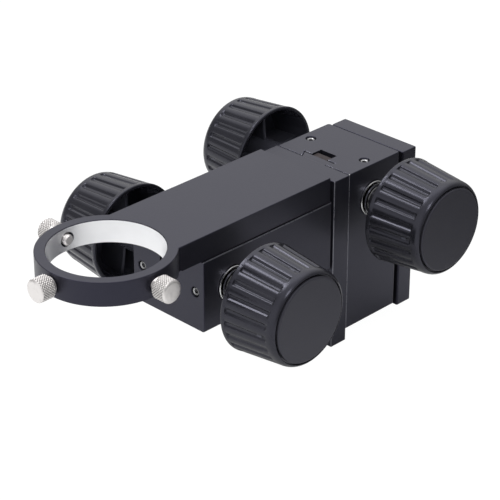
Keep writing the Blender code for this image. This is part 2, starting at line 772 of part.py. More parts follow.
def mounting_plate_mesh(screw_places):
    """The back plate: a slab with a raised pad that the rear housing is pulled against."""
    half = PLATE_WIDTH / 2
    outline = [(-half, 0.0), (-half, -PLATE_THICKNESS), (half, -PLATE_THICKNESS), (half, 0.0)]
    slab = bevel_ends(prism([outline], -PLATE_HEIGHT / 2, PLATE_HEIGHT / 2), PLATE_BEVEL)
    pad_depth = PLATE_PAD_HEIGHT + JOIN_OVERLAP
    pad_middle = -PLATE_THICKNESS - PLATE_PAD_HEIGHT + pad_depth / 2
    pad_width = PLATE_WIDTH - 2 * PLATE_PAD_FROM_SIDE
    pad_length = PLATE_HEIGHT - 2 * PLATE_PAD_FROM_END
    pad = box(pad_width, pad_depth, pad_length, (0.0, pad_middle, 0.0))
    below_seat = PLATE_THICKNESS + PLATE_PAD_HEIGHT - M4_HEAD_HEIGHT
    screw_cuts = [
        moved(
            screw_hole(0.0, M4_RADIUS, M4_HEAD_RADIUS, M4_HEAD_HEIGHT, below_seat + CUT_OVERRUN),
            TURN_TO_Y,
            shift(x=x, y=-M4_HEAD_HEIGHT, z=z),
        )
        for x, z in screw_places
    ]
    stand_cuts = [
        moved(
            rod(STAND_HOLE_RADIUS, -STAND_HOLE_DEPTH, CUT_OVERRUN, SMALL_STEPS),
            TURN_TO_Y,
            shift(x=x, z=z),
        )
        for x in (-STAND_HOLE_SPACING_X / 2, STAND_HOLE_SPACING_X / 2)
        for z in (-STAND_HOLE_SPACING_Z / 2, STAND_HOLE_SPACING_Z / 2)
    ]
    return cut(fused(slab, pad), joined(screw_cuts + stand_cuts))


def lift_plate_mesh(screw_places, rack_top):
    """The plate that rides up the rear housing, with its tongue on the back."""
    back = -SLIDE_GAP
    front = back - LIFT_PLATE_THICKNESS
    outline = rounded_corners(LIFT_PLATE_WIDTH / 2, front, back, LIFT_PLATE_CORNER)
    slab = bevel_ends(prism([outline], -LIFT_PLATE_HEIGHT, 0.0), PLATE_BEVEL)
    foot = PLATE_BEVEL - LIFT_PLATE_HEIGHT
    tongue = prism([tongue_outline(back - JOIN_OVERLAP)], foot, -LIFT_TONGUE_SHORT)
    below_seat = LIFT_PLATE_THICKNESS - M4_HEAD_HEIGHT - SEAT_GAP
    holes = [
        moved(
            screw_hole(
                0.0, M4_RADIUS, M4_HEAD_RADIUS, M4_HEAD_HEIGHT + SEAT_GAP, below_seat + CUT_OVERRUN
            ),
            TURN_TO_Y,
            shift(x=x, y=back - M4_HEAD_HEIGHT - SEAT_GAP, z=z),
        )
        for x, z in screw_places
    ]
    return cut(fused(slab, tongue), joined(holes + tapped_rack_holes(rack_top)))


def ring_arm_outline():
    """The arm from its back end to where its sides meet the ring's outer circle."""
    half = ARM_WIDTH / 2
    back = ARM_BACK_SHORT - HOUSING_LENGTH
    meets = math.acos(half / RING_OUTER_RADIUS)
    ring = arc((0.0, RING_REACH), RING_OUTER_RADIUS, -meets, math.pi + meets, RING_STEPS)
    return [(-half, back), (half, back)] + ring


def ring_arm_mesh(rack_top):
    """The arm and its ring, cut from one plate, with the tongue under it."""
    plate = bevel_ends(prism([ring_arm_outline()], 0.0, ARM_THICKNESS), ARM_BEVEL)
    moved(plate, FLAT_TO_XZ, shift(y=-SLIDE_GAP))
    bore = rod(RING_BORE_RADIUS, -CUT_OVERRUN, ARM_THICKNESS + CUT_OVERRUN, RING_STEPS)
    moved(bore, FLAT_TO_XZ, shift(y=-SLIDE_GAP, z=RING_REACH))
    tongue = prism(
        [tongue_outline(-SLIDE_GAP - JOIN_OVERLAP)],
        ARM_BACK_SHORT + ARM_TONGUE_INSET - HOUSING_LENGTH,
        -ARM_TONGUE_INSET,
    )
    relief_height = ARM_THICKNESS - RING_HEIGHT
    relief = rod(RING_OUTER_RADIUS + SEAT_GAP, -CUT_OVERRUN, relief_height, RING_STEPS)
    moved(relief, FLAT_TO_XZ, shift(y=-SLIDE_GAP, z=RING_REACH))
    top = -SLIDE_GAP - ARM_THICKNESS
    wall_middle = (RING_BORE_RADIUS + RING_OUTER_RADIUS) / 2
    half_wall = RING_OUTER_RADIUS - wall_middle + CUT_OVERRUN
    screw_cuts = [
        moved(
            rod(THUMB_STUD_RADIUS + SEAT_GAP, wall_middle - half_wall, wall_middle + half_wall),
            Matrix.Rotation(turn, 4, "Y"),
            shift(y=top + THUMB_BELOW_TOP, z=RING_REACH),
        )
        for name, turn, stand_off in THUMB_SCREWS
    ]
    mesh = fused(plate, tongue)
    return cut(mesh, relief, bore, joined(screw_cuts), joined(tapped_rack_holes(rack_top)))


def thumb_stud_mesh():
    """The threaded stud along Z, its tip towards the ring's middle, measured from that tip."""
    tip = THUMB_STUD_RADIUS - THUMB_TIP_CHAMFER
    return turned(
        [
            (0.0, THUMB_STUD_LENGTH),
            (THUMB_STUD_RADIUS, THUMB_STUD_LENGTH),
            (THUMB_STUD_RADIUS, THUMB_TIP_CHAMFER),
            (tip, 0.0),
            (0.0, 0.0),
        ],
        SMALL_STEPS,
    )


def thumb_head_mesh():
    """The knurled head along Z, with its collar, bored for the stud, measured from the tip."""
    face = THUMB_SCREW_LENGTH
    knurl_end = face - THUMB_HEAD_LENGTH
    collar_end = knurl_end - THUMB_COLLAR_LENGTH
    rim = THUMB_HEAD_RADIUS - THUMB_HEAD_CHAMFER
    bore = THUMB_STUD_RADIUS + SEAT_GAP
    bore_floor = THUMB_STUD_LENGTH + SEAT_GAP
    return turned(
        [
            (0.0, face),
            (rim, face),
            (THUMB_HEAD_RADIUS, face - THUMB_HEAD_CHAMFER),
            (THUMB_HEAD_RADIUS, knurl_end + THUMB_HEAD_CHAMFER),
            (rim, knurl_end),
            (THUMB_COLLAR_RADIUS, knurl_end),
            (THUMB_COLLAR_RADIUS, collar_end),
            (bore, collar_end),
            (bore, bore_floor),
            (0.0, bore_floor),
        ]
    )


def empty(name, parent, location=(0.0, 0.0, 0.0), rotation=(0.0, 0.0, 0.0)):
    """A frame that pieces hang on: a module, a slide, or a shaft's axis."""
    obj = bpy.data.objects.new(name, None)
    obj.location = location
    obj.rotation_euler = rotation
    obj.parent = parent
    PARTS.objects.link(obj)
    return obj


def add(name, mesh, material, parent, location=(0.0, 0.0, 0.0), rotation=(0.0, 0.0, 0.0)):
    """One named piece, smooth where it is round, with a material of its own."""
    if not mesh.materials:
        mesh.shade_smooth()
        mesh.set_sharp_from_angle(angle=SHARP_ANGLE)
        mesh.materials.append(None)
    mesh.name = name
    obj = bpy.data.objects.new(name, mesh)
    obj.location = location
    obj.rotation_euler = rotation
    obj.parent = parent
    PARTS.objects.link(obj)
    colour, roughness, metallic = material
    slot = obj.material_slots[0]
    slot.link = "OBJECT"
    slot.material = new_material(name, colour, roughness, metallic)
    return obj


def sides(flipped):
    """Right and left ends of a shaft, with the turn about Z that puts a right-hand piece there."""
    return (("right", math.pi if flipped else 0.0), ("left", 0.0 if flipped else math.pi))


def add_drive(prefix, module, knob_turn, flipped):
    """A pinion shaft with its washers, knobs, centre screws and caps, on the shaft's axis."""
    axis = empty(prefix + "_drive_axis", module, (0.0, SHAFT_FROM_FACE, -SHAFT_FROM_END))
    add(prefix + "_pinion_shaft", pinion_shaft_mesh(), STEEL, axis)
    pieces = (
        ("_tension_washer_", washer_mesh(), CHROME),
        ("_knob_", knob_mesh(knob_turn), BLACK_PLASTIC),
        ("_knob_screw_", knob_screw_mesh(), STEEL),
        ("_knob_cap_", knob_cap_mesh(), CAP_PLASTIC),
    )
    for side, turn in sides(flipped):
        for part, mesh, material in pieces:
            add(prefix + part + side, mesh, material, axis, rotation=(0.0, 0.0, turn))


def add_bushes(prefix, module, flipped):
    """The two bushes of a housing and the grub screws that lock them, all fixed to it."""
    bush = bush_mesh()
    grub = lock_screw_mesh()
    axis = (0.0, SHAFT_FROM_FACE, -SHAFT_FROM_END)
    for side, turn in sides(flipped):
        add(prefix + "_bush_" + side, bush, CHROME, module, axis, (0.0, 0.0, turn))
        place = (LOCK_SCREW_OFFSET * math.cos(turn), SHAFT_FROM_FACE, 0.0)
        add(prefix + "_bush_lock_screw_" + side, grub, STEEL, module, place)


def add_rack(prefix, slide, top, mesh_point):
    """The rack on a tongue and its two screws."""
    add(prefix + "_rack", rack_mesh(top, mesh_point), BRASS, slide)
    reach = RACK_SCREW_REACH - SEAT_GAP
    screw = cap_screw(reach, M3_RADIUS, M3_HEAD_RADIUS, M3_HEAD_HEIGHT, M3_KEY_RADIUS)
    moved(screw, TURN_TO_Y)
    for number, place in enumerate(rack_screw_places(top), start=1):
        location = (0.0, RACK_SCREW_SEAT + SEAT_GAP, place)
        add(f"{prefix}_rack_screw_{number}", screw, STEEL, slide, location)


def add_base():
    """The mounting plate, the rear housing and what is fixed in them."""
    places = [(x, z) for z in (PLATE_SCREW_Z, -PLATE_SCREW_Z) for x in (-PLATE_SCREW_X, PLATE_SCREW_X)]
    add("rear_mounting_plate", mounting_plate_mesh(places), BLACK_PAINT, None)
    below_seat = PLATE_THICKNESS + PLATE_PAD_HEIGHT - M4_HEAD_HEIGHT
    reach = below_seat + PLATE_THREAD_REACH
    screw = cap_screw(reach, M4_RADIUS, M4_HEAD_RADIUS, M4_HEAD_HEIGHT - SEAT_GAP, M4_KEY_RADIUS)
    moved(screw, TURN_TO_Y)
    for number, (x, z) in enumerate(places, start=1):
        location = (x, SEAT_GAP - M4_HEAD_HEIGHT, z)
        add(f"rear_plate_screw_{number}", screw, STEEL, None, location)

    module = empty("rear_module", None, (0.0, REAR_FACE, REAR_TOP))
    thread_end = HOUSING_DEPTH - PLATE_THREAD_REACH
    holes = [
        moved(
            rod(M4_RADIUS + SEAT_GAP, thread_end, HOUSING_DEPTH + CUT_OVERRUN, SMALL_STEPS),
            TURN_TO_Y,
            shift(x=x, z=z - REAR_TOP),
        )
        for x, z in places
    ]
    add("rear_housing", housing_mesh(holes), BLACK_PAINT, module)
    add_bushes("rear", module, flipped=False)
    return module


def add_lift(rear_module):
    """The lift plate with its rack, and the front housing bolted to its face."""
    slide = empty("lift_slide", rear_module, (0.0, 0.0, LIFT_ABOVE_HOUSING))
    rack_top = -(LIFT_PLATE_HEIGHT - RACK_LENGTH) / 4
    mesh_point = -SHAFT_FROM_END - LIFT_ABOVE_HOUSING
    places = [
        (x, -FRONT_FACE_BELOW_LIFT_TOP - depth)
        for depth in LIFT_SCREW_DEPTHS
        for x in (-LIFT_SCREW_OFFSET, LIFT_SCREW_OFFSET)
    ]
    add("lift_plate", lift_plate_mesh(places, rack_top), BLACK_PAINT, slide)
    add_rack("lift", slide, rack_top, mesh_point)
    below_seat = LIFT_PLATE_THICKNESS - M4_HEAD_HEIGHT - SEAT_GAP
    reach = below_seat + THREAD_REACH
    screw = cap_screw(reach, M4_RADIUS, M4_HEAD_RADIUS, M4_HEAD_HEIGHT - SEAT_GAP, M4_KEY_RADIUS)
    moved(screw, TURN_TO_Y)
    for number, (x, z) in enumerate(places, start=1):
        location = (x, -SLIDE_GAP - M4_HEAD_HEIGHT, z)
        add(f"lift_plate_screw_{number}", screw, STEEL, slide, location)

    front_end = -SLIDE_GAP - LIFT_PLATE_THICKNESS - SEAT_GAP - HOUSING_LENGTH
    module = empty(
        "front_module",
        slide,
        (0.0, front_end, -FRONT_FACE_BELOW_LIFT_TOP),
        (math.pi / 2, math.pi, 0.0),
    )
    thread_end = THREAD_REACH - HOUSING_LENGTH
    holes = [
        moved(
            rod(M4_RADIUS + SEAT_GAP, -HOUSING_LENGTH - CUT_OVERRUN, thread_end, SMALL_STEPS),
            shift(x=x, y=-FRONT_FACE_BELOW_LIFT_TOP - z),
        )
        for x, z in places
    ]
    add("front_housing", housing_mesh(holes), BLACK_PAINT, module)
    add_bushes("front", module, flipped=True)
    return module


def add_arm(front_module):
    """The ring arm with its rack and its three thumb screws."""
    slide = empty("arm_slide", front_module)
    add("ring_arm", ring_arm_mesh(-ARM_RACK_START), BLACK_PAINT, slide)
    add_rack("arm", slide, -ARM_RACK_START, -SHAFT_FROM_END)
    stud = thumb_stud_mesh()
    head = thumb_head_mesh()
    height = -SLIDE_GAP - ARM_THICKNESS + THUMB_BELOW_TOP
    collar_end = THUMB_SCREW_LENGTH - THUMB_HEAD_LENGTH - THUMB_COLLAR_LENGTH
    for side, turn, stand_off in THUMB_SCREWS:
        axis = empty(f"{side}_thumb_axis", slide, (0.0, height, RING_REACH), (0.0, turn, 0.0))
        tip = (0.0, 0.0, RING_OUTER_RADIUS + stand_off - collar_end)
        add(f"{side}_thumb_screw_stud", stud, NICKEL, axis, tip)
        add(f"{side}_thumb_screw_head", head, NICKEL, axis, tip)


# Materials: colour, roughness and metallic value
BLACK_PAINT = ((0.028, 0.028, 0.031), 0.45, 0.0)
BLACK_PLASTIC = ((0.015, 0.015, 0.017), 0.35, 0.0)
CAP_PLASTIC = ((0.040, 0.040, 0.044), 0.55, 0.0)
STEEL = ((0.45, 0.45, 0.46), 0.35, 1.0)
CHROME = ((0.75, 0.75, 0.76), 0.18, 1.0)
BRASS = ((0.50, 0.38, 0.18), 0.40, 1.0)
NICKEL = ((0.66, 0.64, 0.60), 0.30, 1.0)

# The rear housing's place behind the mounting plate
REAR_FACE = -PLATE_THICKNESS - PLATE_PAD_HEIGHT - SEAT_GAP - HOUSING_DEPTH
REAR_TOP = PLATE_HEIGHT / 2 + HOUSING_ABOVE_PLATE

clear_scene()
PARTS = new_collection(COLLECTION_NAME)
rear = add_base()
add_drive("rear", rear, REAR_KNOB_TURN, flipped=False)
front = add_lift(rear)
add_drive("front", front, FRONT_KNOB_TURN, flipped=True)
add_arm(front)
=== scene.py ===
import math

import bmesh
import bpy
from mathutils import Euler, Matrix, Vector


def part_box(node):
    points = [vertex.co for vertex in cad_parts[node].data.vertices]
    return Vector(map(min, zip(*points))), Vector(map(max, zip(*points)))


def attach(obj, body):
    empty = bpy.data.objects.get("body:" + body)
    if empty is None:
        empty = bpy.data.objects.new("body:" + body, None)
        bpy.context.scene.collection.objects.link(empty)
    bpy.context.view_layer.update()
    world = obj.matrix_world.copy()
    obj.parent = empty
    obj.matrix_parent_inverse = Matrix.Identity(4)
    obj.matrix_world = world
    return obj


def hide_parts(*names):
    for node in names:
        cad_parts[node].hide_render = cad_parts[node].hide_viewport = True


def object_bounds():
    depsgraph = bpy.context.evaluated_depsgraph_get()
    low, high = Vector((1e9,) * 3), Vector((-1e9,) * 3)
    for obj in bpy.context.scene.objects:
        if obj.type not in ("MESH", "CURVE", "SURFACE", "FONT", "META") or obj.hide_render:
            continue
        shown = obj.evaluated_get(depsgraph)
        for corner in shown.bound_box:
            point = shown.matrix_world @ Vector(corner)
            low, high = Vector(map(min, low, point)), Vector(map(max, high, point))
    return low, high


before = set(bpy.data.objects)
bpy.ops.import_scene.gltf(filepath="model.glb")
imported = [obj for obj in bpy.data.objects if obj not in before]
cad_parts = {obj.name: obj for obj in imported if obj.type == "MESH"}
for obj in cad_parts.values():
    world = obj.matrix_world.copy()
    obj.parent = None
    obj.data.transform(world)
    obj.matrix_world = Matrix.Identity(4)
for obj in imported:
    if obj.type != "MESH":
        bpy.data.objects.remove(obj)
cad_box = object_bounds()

# The studio. A white paper floor in even room light with soft glows in front, behind on the left and
# overhead.
# The paper's colour carries a painted shadow towards the back right, which the pieces mirror. One soft box
# hangs on the left and a weaker one on the right. The camera stands where the photograph's did.


class Flow:
    """A node's output, which Python's own signs add, take off and multiply with Math nodes."""

    def __init__(self, graph, socket):
        self.graph = graph
        self.socket = socket

    def sum(self, operation, *values):
        sockets = dict(enumerate(values))
        return self.graph.node("ShaderNodeMath", {"operation": operation}, sockets)

    def __add__(self, other):
        return self.sum("ADD", self, other)

    def __sub__(self, other):
        return self.sum("SUBTRACT", self, other)

    def __rsub__(self, other):
        return self.sum("SUBTRACT", other, self)

    def __mul__(self, other):
        return self.sum("MULTIPLY", self, other)

    __radd__ = __add__
    __rmul__ = __mul__

    def step(self, low, high):
        """0 below low, 1 above high, and a smooth rise between."""
        sockets = {"Value": self, "From Min": low, "From Max": high}
        return self.graph.node("ShaderNodeMapRange", {"interpolation_type": "SMOOTHSTEP"}, sockets)


class Graph:
    """The node tree of a material or of the world."""

    def __init__(self, tree):
        self.tree = tree

    def feed(self, socket, value):
        if isinstance(value, Flow):
            self.tree.links.new(value.socket, socket)
        else:
            socket.default_value = value

    def node(self, kind, settings, sockets, output=0):
        made = self.tree.nodes.new(kind)
        for name, value in settings.items():
            setattr(made, name, value)
        for name, value in sockets.items():
            self.feed(made.inputs[name], value)
        return Flow(self, made.outputs[output])

    def blend(self, share, first, second):
        """A colour between two colours."""
        return self.node("ShaderNodeMix", {"data_type": "RGBA"}, {0: share, 6: first, 7: second}, 2)

    def noise(self, place, scale, detail, roughness=0.5):
        sockets = {"Vector": place, "Scale": scale, "Detail": detail, "Roughness": roughness}
        return self.node("ShaderNodeTexNoise", {}, sockets)


FLOOR_SIZE = 6.0
FLOOR_DROP = 0.0002
FLOOR_SHADOW_START = 0.05
FLOOR_SHADOW_END = 0.16
FLOOR_SHADOW_WAY = (0.72, 0.69, 0.0)
PAPER_NEAR = (0.81, 0.815, 0.81, 1.0)
PAPER_PAINTED_SHADOW = (0.17, 0.17, 0.17, 1.0)
PAPER_LIT_SHARE = 0.93
PAPER_LIT_STRENGTH = 1.06
CAMERA_PLACE = Vector((0.543764, -0.636015, 0.424483))
CAMERA_TARGET = Vector((0.01722, -0.10363, 0.02380))
CAMERA_LENS = 141.8
CAMERA_SENSOR = 36.0
CAMERA_CLIP = 0.01
WHITE = (1.0, 1.0, 1.0, 1.0)
ROOM = 0.38
SOFT_BOX_PLACE = (-0.57, -0.30, 1.00)
SOFT_BOX_SIZE = 0.36
SOFT_BOX_POWER = 3.0
SIDE_BOX_PLACE = (0.62, -0.40, 0.85)
SIDE_BOX_SIZE = 0.25
SIDE_BOX_POWER = 1.4
GLOW_EDGE = 0.62
GLOW_CORE = 0.98
GLOWS = (
    ((0.0, -0.98, 0.21), 0.64),
    ((-0.46, 0.46, 0.77), 0.95),
    ((0.0, 0.0, 1.0), 0.80),
)

camera = bpy.data.objects.new("camera", bpy.data.cameras.new("camera"))
camera.data.lens = CAMERA_LENS
camera.data.sensor_width = CAMERA_SENSOR
camera.data.clip_start = CAMERA_CLIP
camera.location = CAMERA_PLACE
camera.rotation_euler = (CAMERA_TARGET - CAMERA_PLACE).to_track_quat("-Z", "Y").to_euler()
bpy.context.scene.collection.objects.link(camera)
bpy.context.scene.camera = camera
bpy.context.scene.view_settings.view_transform = "Standard"

world = bpy.data.worlds.new("studio")
world.use_nodes = True
bpy.context.scene.world = world
sky = Graph(world.node_tree)
direction = sky.node("ShaderNodeTexCoord", {}, {})


def glow(towards):
    """A soft patch of light in one direction, from 0 to 1."""
    aim = Vector(towards).normalized()
    near = sky.node("ShaderNodeVectorMath", {"operation": "DOT_PRODUCT"}, {0: direction, 1: aim}, 1)
    return near.step(GLOW_EDGE, GLOW_CORE)


strength = ROOM
for towards, amount in GLOWS:
    strength = strength + amount * glow(towards)
seen = sky.node("ShaderNodeLightPath", {}, {}, 0)
shown = strength * (1 - seen) + seen
background = world.node_tree.nodes["Background"]
background.inputs["Color"].default_value = WHITE
sky.feed(background.inputs["Strength"], shown)

floor_mesh = bpy.data.meshes.new("floor")
half = FLOOR_SIZE / 2
floor_level = cad_box[0][2] - FLOOR_DROP
corners = [(x * half, y * half, floor_level) for x, y in ((-1, -1), (1, -1), (1, 1), (-1, 1))]
floor_mesh.from_pydata(corners, [], [(0, 1, 2, 3)])
floor = bpy.data.objects.new("floor", floor_mesh)
bpy.context.scene.collection.objects.link(floor)
floor_paper = bpy.data.materials.new("floor_paper")
floor_paper.use_nodes = True
paper = Graph(floor_paper.node_tree)
floor_paper.node_tree.nodes.clear()
spot = paper.node("ShaderNodeTexCoord", {}, {}, 3)
# Painted shadow: the paper's colour darkens from the near tone to a dark one along this way, towards the back
# right.
across = paper.node("ShaderNodeVectorMath", {"operation": "DOT_PRODUCT"}, {0: spot, 1: FLOOR_SHADOW_WAY}, 1)
painted_shadow = across.step(FLOOR_SHADOW_START, FLOOR_SHADOW_END)
matt = paper.node("ShaderNodeBsdfDiffuse", {}, {"Color": paper.blend(painted_shadow, PAPER_NEAR, PAPER_PAINTED_SHADOW)})
lit = paper.node("ShaderNodeEmission", {}, {"Color": WHITE, "Strength": PAPER_LIT_STRENGTH})
eye = paper.node("ShaderNodeLightPath", {}, {}, 0)
mixed = paper.node("ShaderNodeMixShader", {}, {0: eye * PAPER_LIT_SHARE, 1: matt, 2: lit})
output = floor_paper.node_tree.nodes.new("ShaderNodeOutputMaterial")
paper.feed(output.inputs["Surface"], mixed)
floor_mesh.materials.append(floor_paper)


def lamp(name, place, size, power):
    """A soft box that faces the middle of the stage."""
    light = bpy.data.lights.new(name, "AREA")
    light.size = size
    light.energy = power
    obj = bpy.data.objects.new(name, light)
    obj.location = place
    obj.rotation_euler = (CAMERA_TARGET - Vector(place)).to_track_quat("-Z", "Y").to_euler()
    bpy.context.scene.collection.objects.link(obj)


lamp("soft_box", SOFT_BOX_PLACE, SOFT_BOX_SIZE, SOFT_BOX_POWER)
lamp("side_box", SIDE_BOX_PLACE, SIDE_BOX_SIZE, SIDE_BOX_POWER)

# The rear mounting plate: a machined aluminium slab with a raised pad in front, sprayed with a fine-textured
# black paint. Four cap screws hold it to the rear block, and four tapped holes take the stand's screws.

LEAST_TURN = 0.5
FLAT_SHARE = 0.985


def quarter_turn(axis, times):
    return Matrix.Rotation(math.pi / 2 * times, 4, axis)


def raised(outline, low, high):
    """A flat outline in X and Y, raised from low to high along Z."""
    work = bmesh.new()
    base = work.faces.new([work.verts.new((x, y, low)) for x, y in outline])
    grown = bmesh.ops.extrude_face_region(work, geom=[base])
    tops = [part for part in grown["geom"] if isinstance(part, bmesh.types.BMVert)]
    bmesh.ops.translate(work, verts=tops, vec=(0.0, 0.0, high - low))
    bmesh.ops.recalc_face_normals(work, faces=work.faces)
    return work


def soften(work, width, steps=3, test=lambda edge: True):
    """Rounds the outward edges that pass a test."""
    edges = [
        edge
        for edge in work.edges
        if len(edge.link_faces) == 2 and edge.calc_face_angle_signed() > LEAST_TURN and test(edge)
    ]
    bmesh.ops.bevel(
        work, geom=edges, offset=width, segments=steps, profile=0.5, affect="EDGES", clamp_overlap=True
    )
    return work


def finished(work, *matrices):
    """The work as a mesh, moved by each matrix in turn."""
    mesh = bpy.data.meshes.new("work")
    work.to_mesh(mesh)
    work.free()
    for matrix in matrices:
        mesh.transform(matrix)
    return mesh


def turned(profile, steps, closed=False):
    """A profile of (radius, height) points swept round Z."""
    work = bmesh.new()
    rings = []
    for radius, height in profile:
        count = steps if radius > 0 else 1
        turns = [2 * math.pi * i / steps for i in range(count)]
        rings.append([work.verts.new((radius * math.cos(t), radius * math.sin(t), height)) for t in turns])
    pairs = list(zip(rings, rings[1:]))
    if closed:
        pairs.append((rings[-1], rings[0]))
    for first, second in pairs:
        for i in range(steps):
            j = (i + 1) % steps
            here, there = len(first), len(second)
            corners = [first[i % here], first[j % here], second[j % there], second[i % there]]
            face = list(dict.fromkeys(corners))
            if len(face) > 2:
                work.faces.new(face)
    bmesh.ops.recalc_face_normals(work, faces=work.faces)
    return work


def carved(mesh, cutters):
    """The mesh with the cutters taken off."""
    scene = bpy.context.scene
    body = bpy.data.objects.new("work", mesh)
    scene.collection.objects.link(body)
    tools = []
    for cutter in cutters:
        tool = bpy.data.objects.new("tool", cutter)
        scene.collection.objects.link(tool)
        tools.append(tool)
        boolean = body.modifiers.new("boolean", "BOOLEAN")
        boolean.operation = "DIFFERENCE"
        boolean.object = tool
    bpy.context.view_layer.update()
    graph = bpy.context.evaluated_depsgraph_get()
    result = bpy.data.meshes.new_from_object(body.evaluated_get(graph))
    for tool in [body] + tools:
        bpy.data.objects.remove(tool, do_unlink=True)
    return result


def together(meshes):
    """Several meshes as one."""
    work = bmesh.new()
    for mesh in meshes:
        work.from_mesh(mesh)
    return finished(work)


def show(name, mesh, material, body, nodes, sharp=30.0):
    """Puts a piece on its body in place of its CAD nodes, smooth where it is round."""
    mesh.name = name
    mesh.shade_smooth()
    mesh.set_sharp_from_angle(angle=math.radians(sharp))
    if not mesh.materials:
        mesh.materials.append(material)
    obj = bpy.data.objects.new(name, mesh)
    bpy.context.scene.collection.objects.link(obj)
    level = obj.modifiers.new("level_faces", "WEIGHTED_NORMAL")
    level.keep_sharp = True
    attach(obj, body)
    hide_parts(*nodes)


def wear(mesh, amount, places=()):
    """Marks how worn each rounded edge is: a small amount, or more inside the boxes of a list of places."""
    layer = mesh.attributes.new("worn", "FLOAT", "FACE")
    values = []
    for face in mesh.polygons:
        rounded = max(abs(part) for part in face.normal) < FLAT_SHARE
        value = amount if rounded else 0.0
        for low, high, more in places:
            if rounded and all(low[i] <= face.center[i] <= high[i] for i in range(3)):
                value = more
        values.append(value)
    layer.data.foreach_set("value", values)
    return mesh


SHEEN = (0.70, 0.69, 1.0, 1.0)
PAINT_DARK = (0.0100, 0.0100, 0.0135, 1.0)
PAINT_LIGHT = (0.0150, 0.0150, 0.0200, 1.0)
PAINT_DUST = (0.030, 0.030, 0.040, 1.0)
METAL_RUBBED = (0.20, 0.20, 0.23, 1.0)
METAL_BARE = (0.62, 0.62, 0.64, 1.0)


def black_paint():
    """Fine-textured black paint, satin, rubbed through to the metal at some edges."""
    material = bpy.data.materials.new("black_paint")
    material.use_nodes = True
    coat = Graph(material.node_tree)
    shader = material.node_tree.nodes["Principled BSDF"]
    place = coat.node("ShaderNodeTexCoord", {}, {}, 3)
    grain = coat.noise(place, 2300.0, 3.0, 0.6)
    orange_peel = coat.noise(place, 900.0, 1.0)
    cloud = coat.noise(place, 45.0, 3.0)
    worn = coat.node("ShaderNodeAttribute", {"attribute_name": "worn"}, {}, 2)
    chips = coat.noise(place, 1500.0, 4.0, 0.7)
    bare = (chips + worn * 0.45 + cloud * 0.4).step(0.90, 1.00) * worn.step(0.0, 0.05)
    metal = coat.blend(worn.step(0.75, 0.95), METAL_RUBBED, METAL_BARE)
    black = coat.blend(cloud, PAINT_DARK, PAINT_LIGHT)
    lightened = coat.blend(grain.step(0.55, 0.80) * 0.5, black, PAINT_DUST)
    coat.feed(shader.inputs["Base Color"], coat.blend(bare, lightened, metal))
    coat.feed(shader.inputs["Metallic"], bare)
    shader.inputs["Specular Tint"].default_value = SHEEN
    coat.feed(shader.inputs["Roughness"], 0.26 + 0.14 * grain + 0.06 * cloud)
    height = grain * 0.6 + orange_peel * 0.8 - bare * 1.5
    bump = coat.node("ShaderNodeBump", {}, {"Strength": 0.35, "Distance": 0.00006, "Height": height})
    coat.feed(shader.inputs["Normal"], bump)
    return material


PAINT = black_paint()
PLATE_EDGE = 0.0005
PLATE_FRONT_ROUND = 0.0009
PLATE_FACE_PAD = 0.0019
PAD_WIDTH = 0.0360
PAD_LENGTH = 0.0720
SCREW_HEAD_RADIUS = 0.0035
SCREW_POCKET_GAP = 0.0003
SCREW_HEAD_HEIGHT = 0.0040
STAND_HOLE_RADIUS = 0.0025
STAND_HOLE_DEPTH = 0.0075
STAND_HOLES_X = 0.0100
STAND_HOLES_Z = 0.0150
HOLE_STEPS = 48
HOLE_CHAMFER = 0.0003
PLATE_WEAR = 0.10
OVERRUN = 0.0010
SUNK = 0.0006


def rectangle(half_x, low_y, high_y):
    return [(-half_x, low_y), (half_x, low_y), (half_x, high_y), (-half_x, high_y)]


def drill(radius, depth):
    """A cutter along -Z from Z = 0, with a chamfered mouth."""
    profile = [
        (0.0, OVERRUN),
        (radius + HOLE_CHAMFER + OVERRUN, OVERRUN),
        (radius, -HOLE_CHAMFER),
        (radius, -depth),
        (0.0, -depth),
    ]
    return finished(turned(profile, HOLE_STEPS))


def placed(mesh, *matrices):
    """A copy of a mesh, moved by each matrix in turn."""
    copy = mesh.copy()
    for matrix in matrices:
        copy.transform(matrix)
    return copy


def middle(node):
    low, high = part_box(node)
    return (low + high) / 2


plate_low, plate_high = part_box("rear_mounting_plate")
slab_front = plate_low.y + PLATE_FACE_PAD
slab = raised(rectangle(plate_high.x, slab_front, plate_high.y), plate_low.z, plate_high.z)


def faces_block(edge):
    first, second = (corner.co for corner in edge.verts)
    return max(first.y, second.y) < slab_front + SUNK and abs(first.x - second.x) < SUNK


soften(slab, PLATE_FRONT_ROUND, steps=5, test=faces_block)
soften(slab, PLATE_EDGE)
pad = soften(
    raised(rectangle(PAD_WIDTH / 2, plate_low.y, slab_front + SUNK), -PAD_LENGTH / 2, PAD_LENGTH / 2),
    PLATE_EDGE,
)
plate_screws = [f"rear_plate_screw_{number}" for number in range(1, 5)]
pocket = drill(SCREW_HEAD_RADIUS + SCREW_POCKET_GAP, SCREW_HEAD_HEIGHT)
stand_hole = drill(STAND_HOLE_RADIUS, STAND_HOLE_DEPTH)
to_back = quarter_turn("X", -1)
holes = [
    placed(pocket, to_back, Matrix.Translation((middle(screw).x, 0.0, middle(screw).z)))
    for screw in plate_screws
]
holes += [
    placed(stand_hole, to_back, Matrix.Translation((x, 0.0, z)))
    for x in (-STAND_HOLES_X, STAND_HOLES_X)
    for z in (-STAND_HOLES_Z, STAND_HOLES_Z)
]
plate_mesh = carved(together([finished(slab), finished(pad)]), [together(holes)])
show("back_plate", wear(plate_mesh, PLATE_WEAR), PAINT, "base", ["rear_mounting_plate"])

# The cap screws of the mounting plate and the lift plate: zinc-plated steel, turned, with a broached
# hexagon for the key. Each head sits in a pocket of its plate.

STAIN_SHARE = 0.55
SHADE_SHARE = 0.12


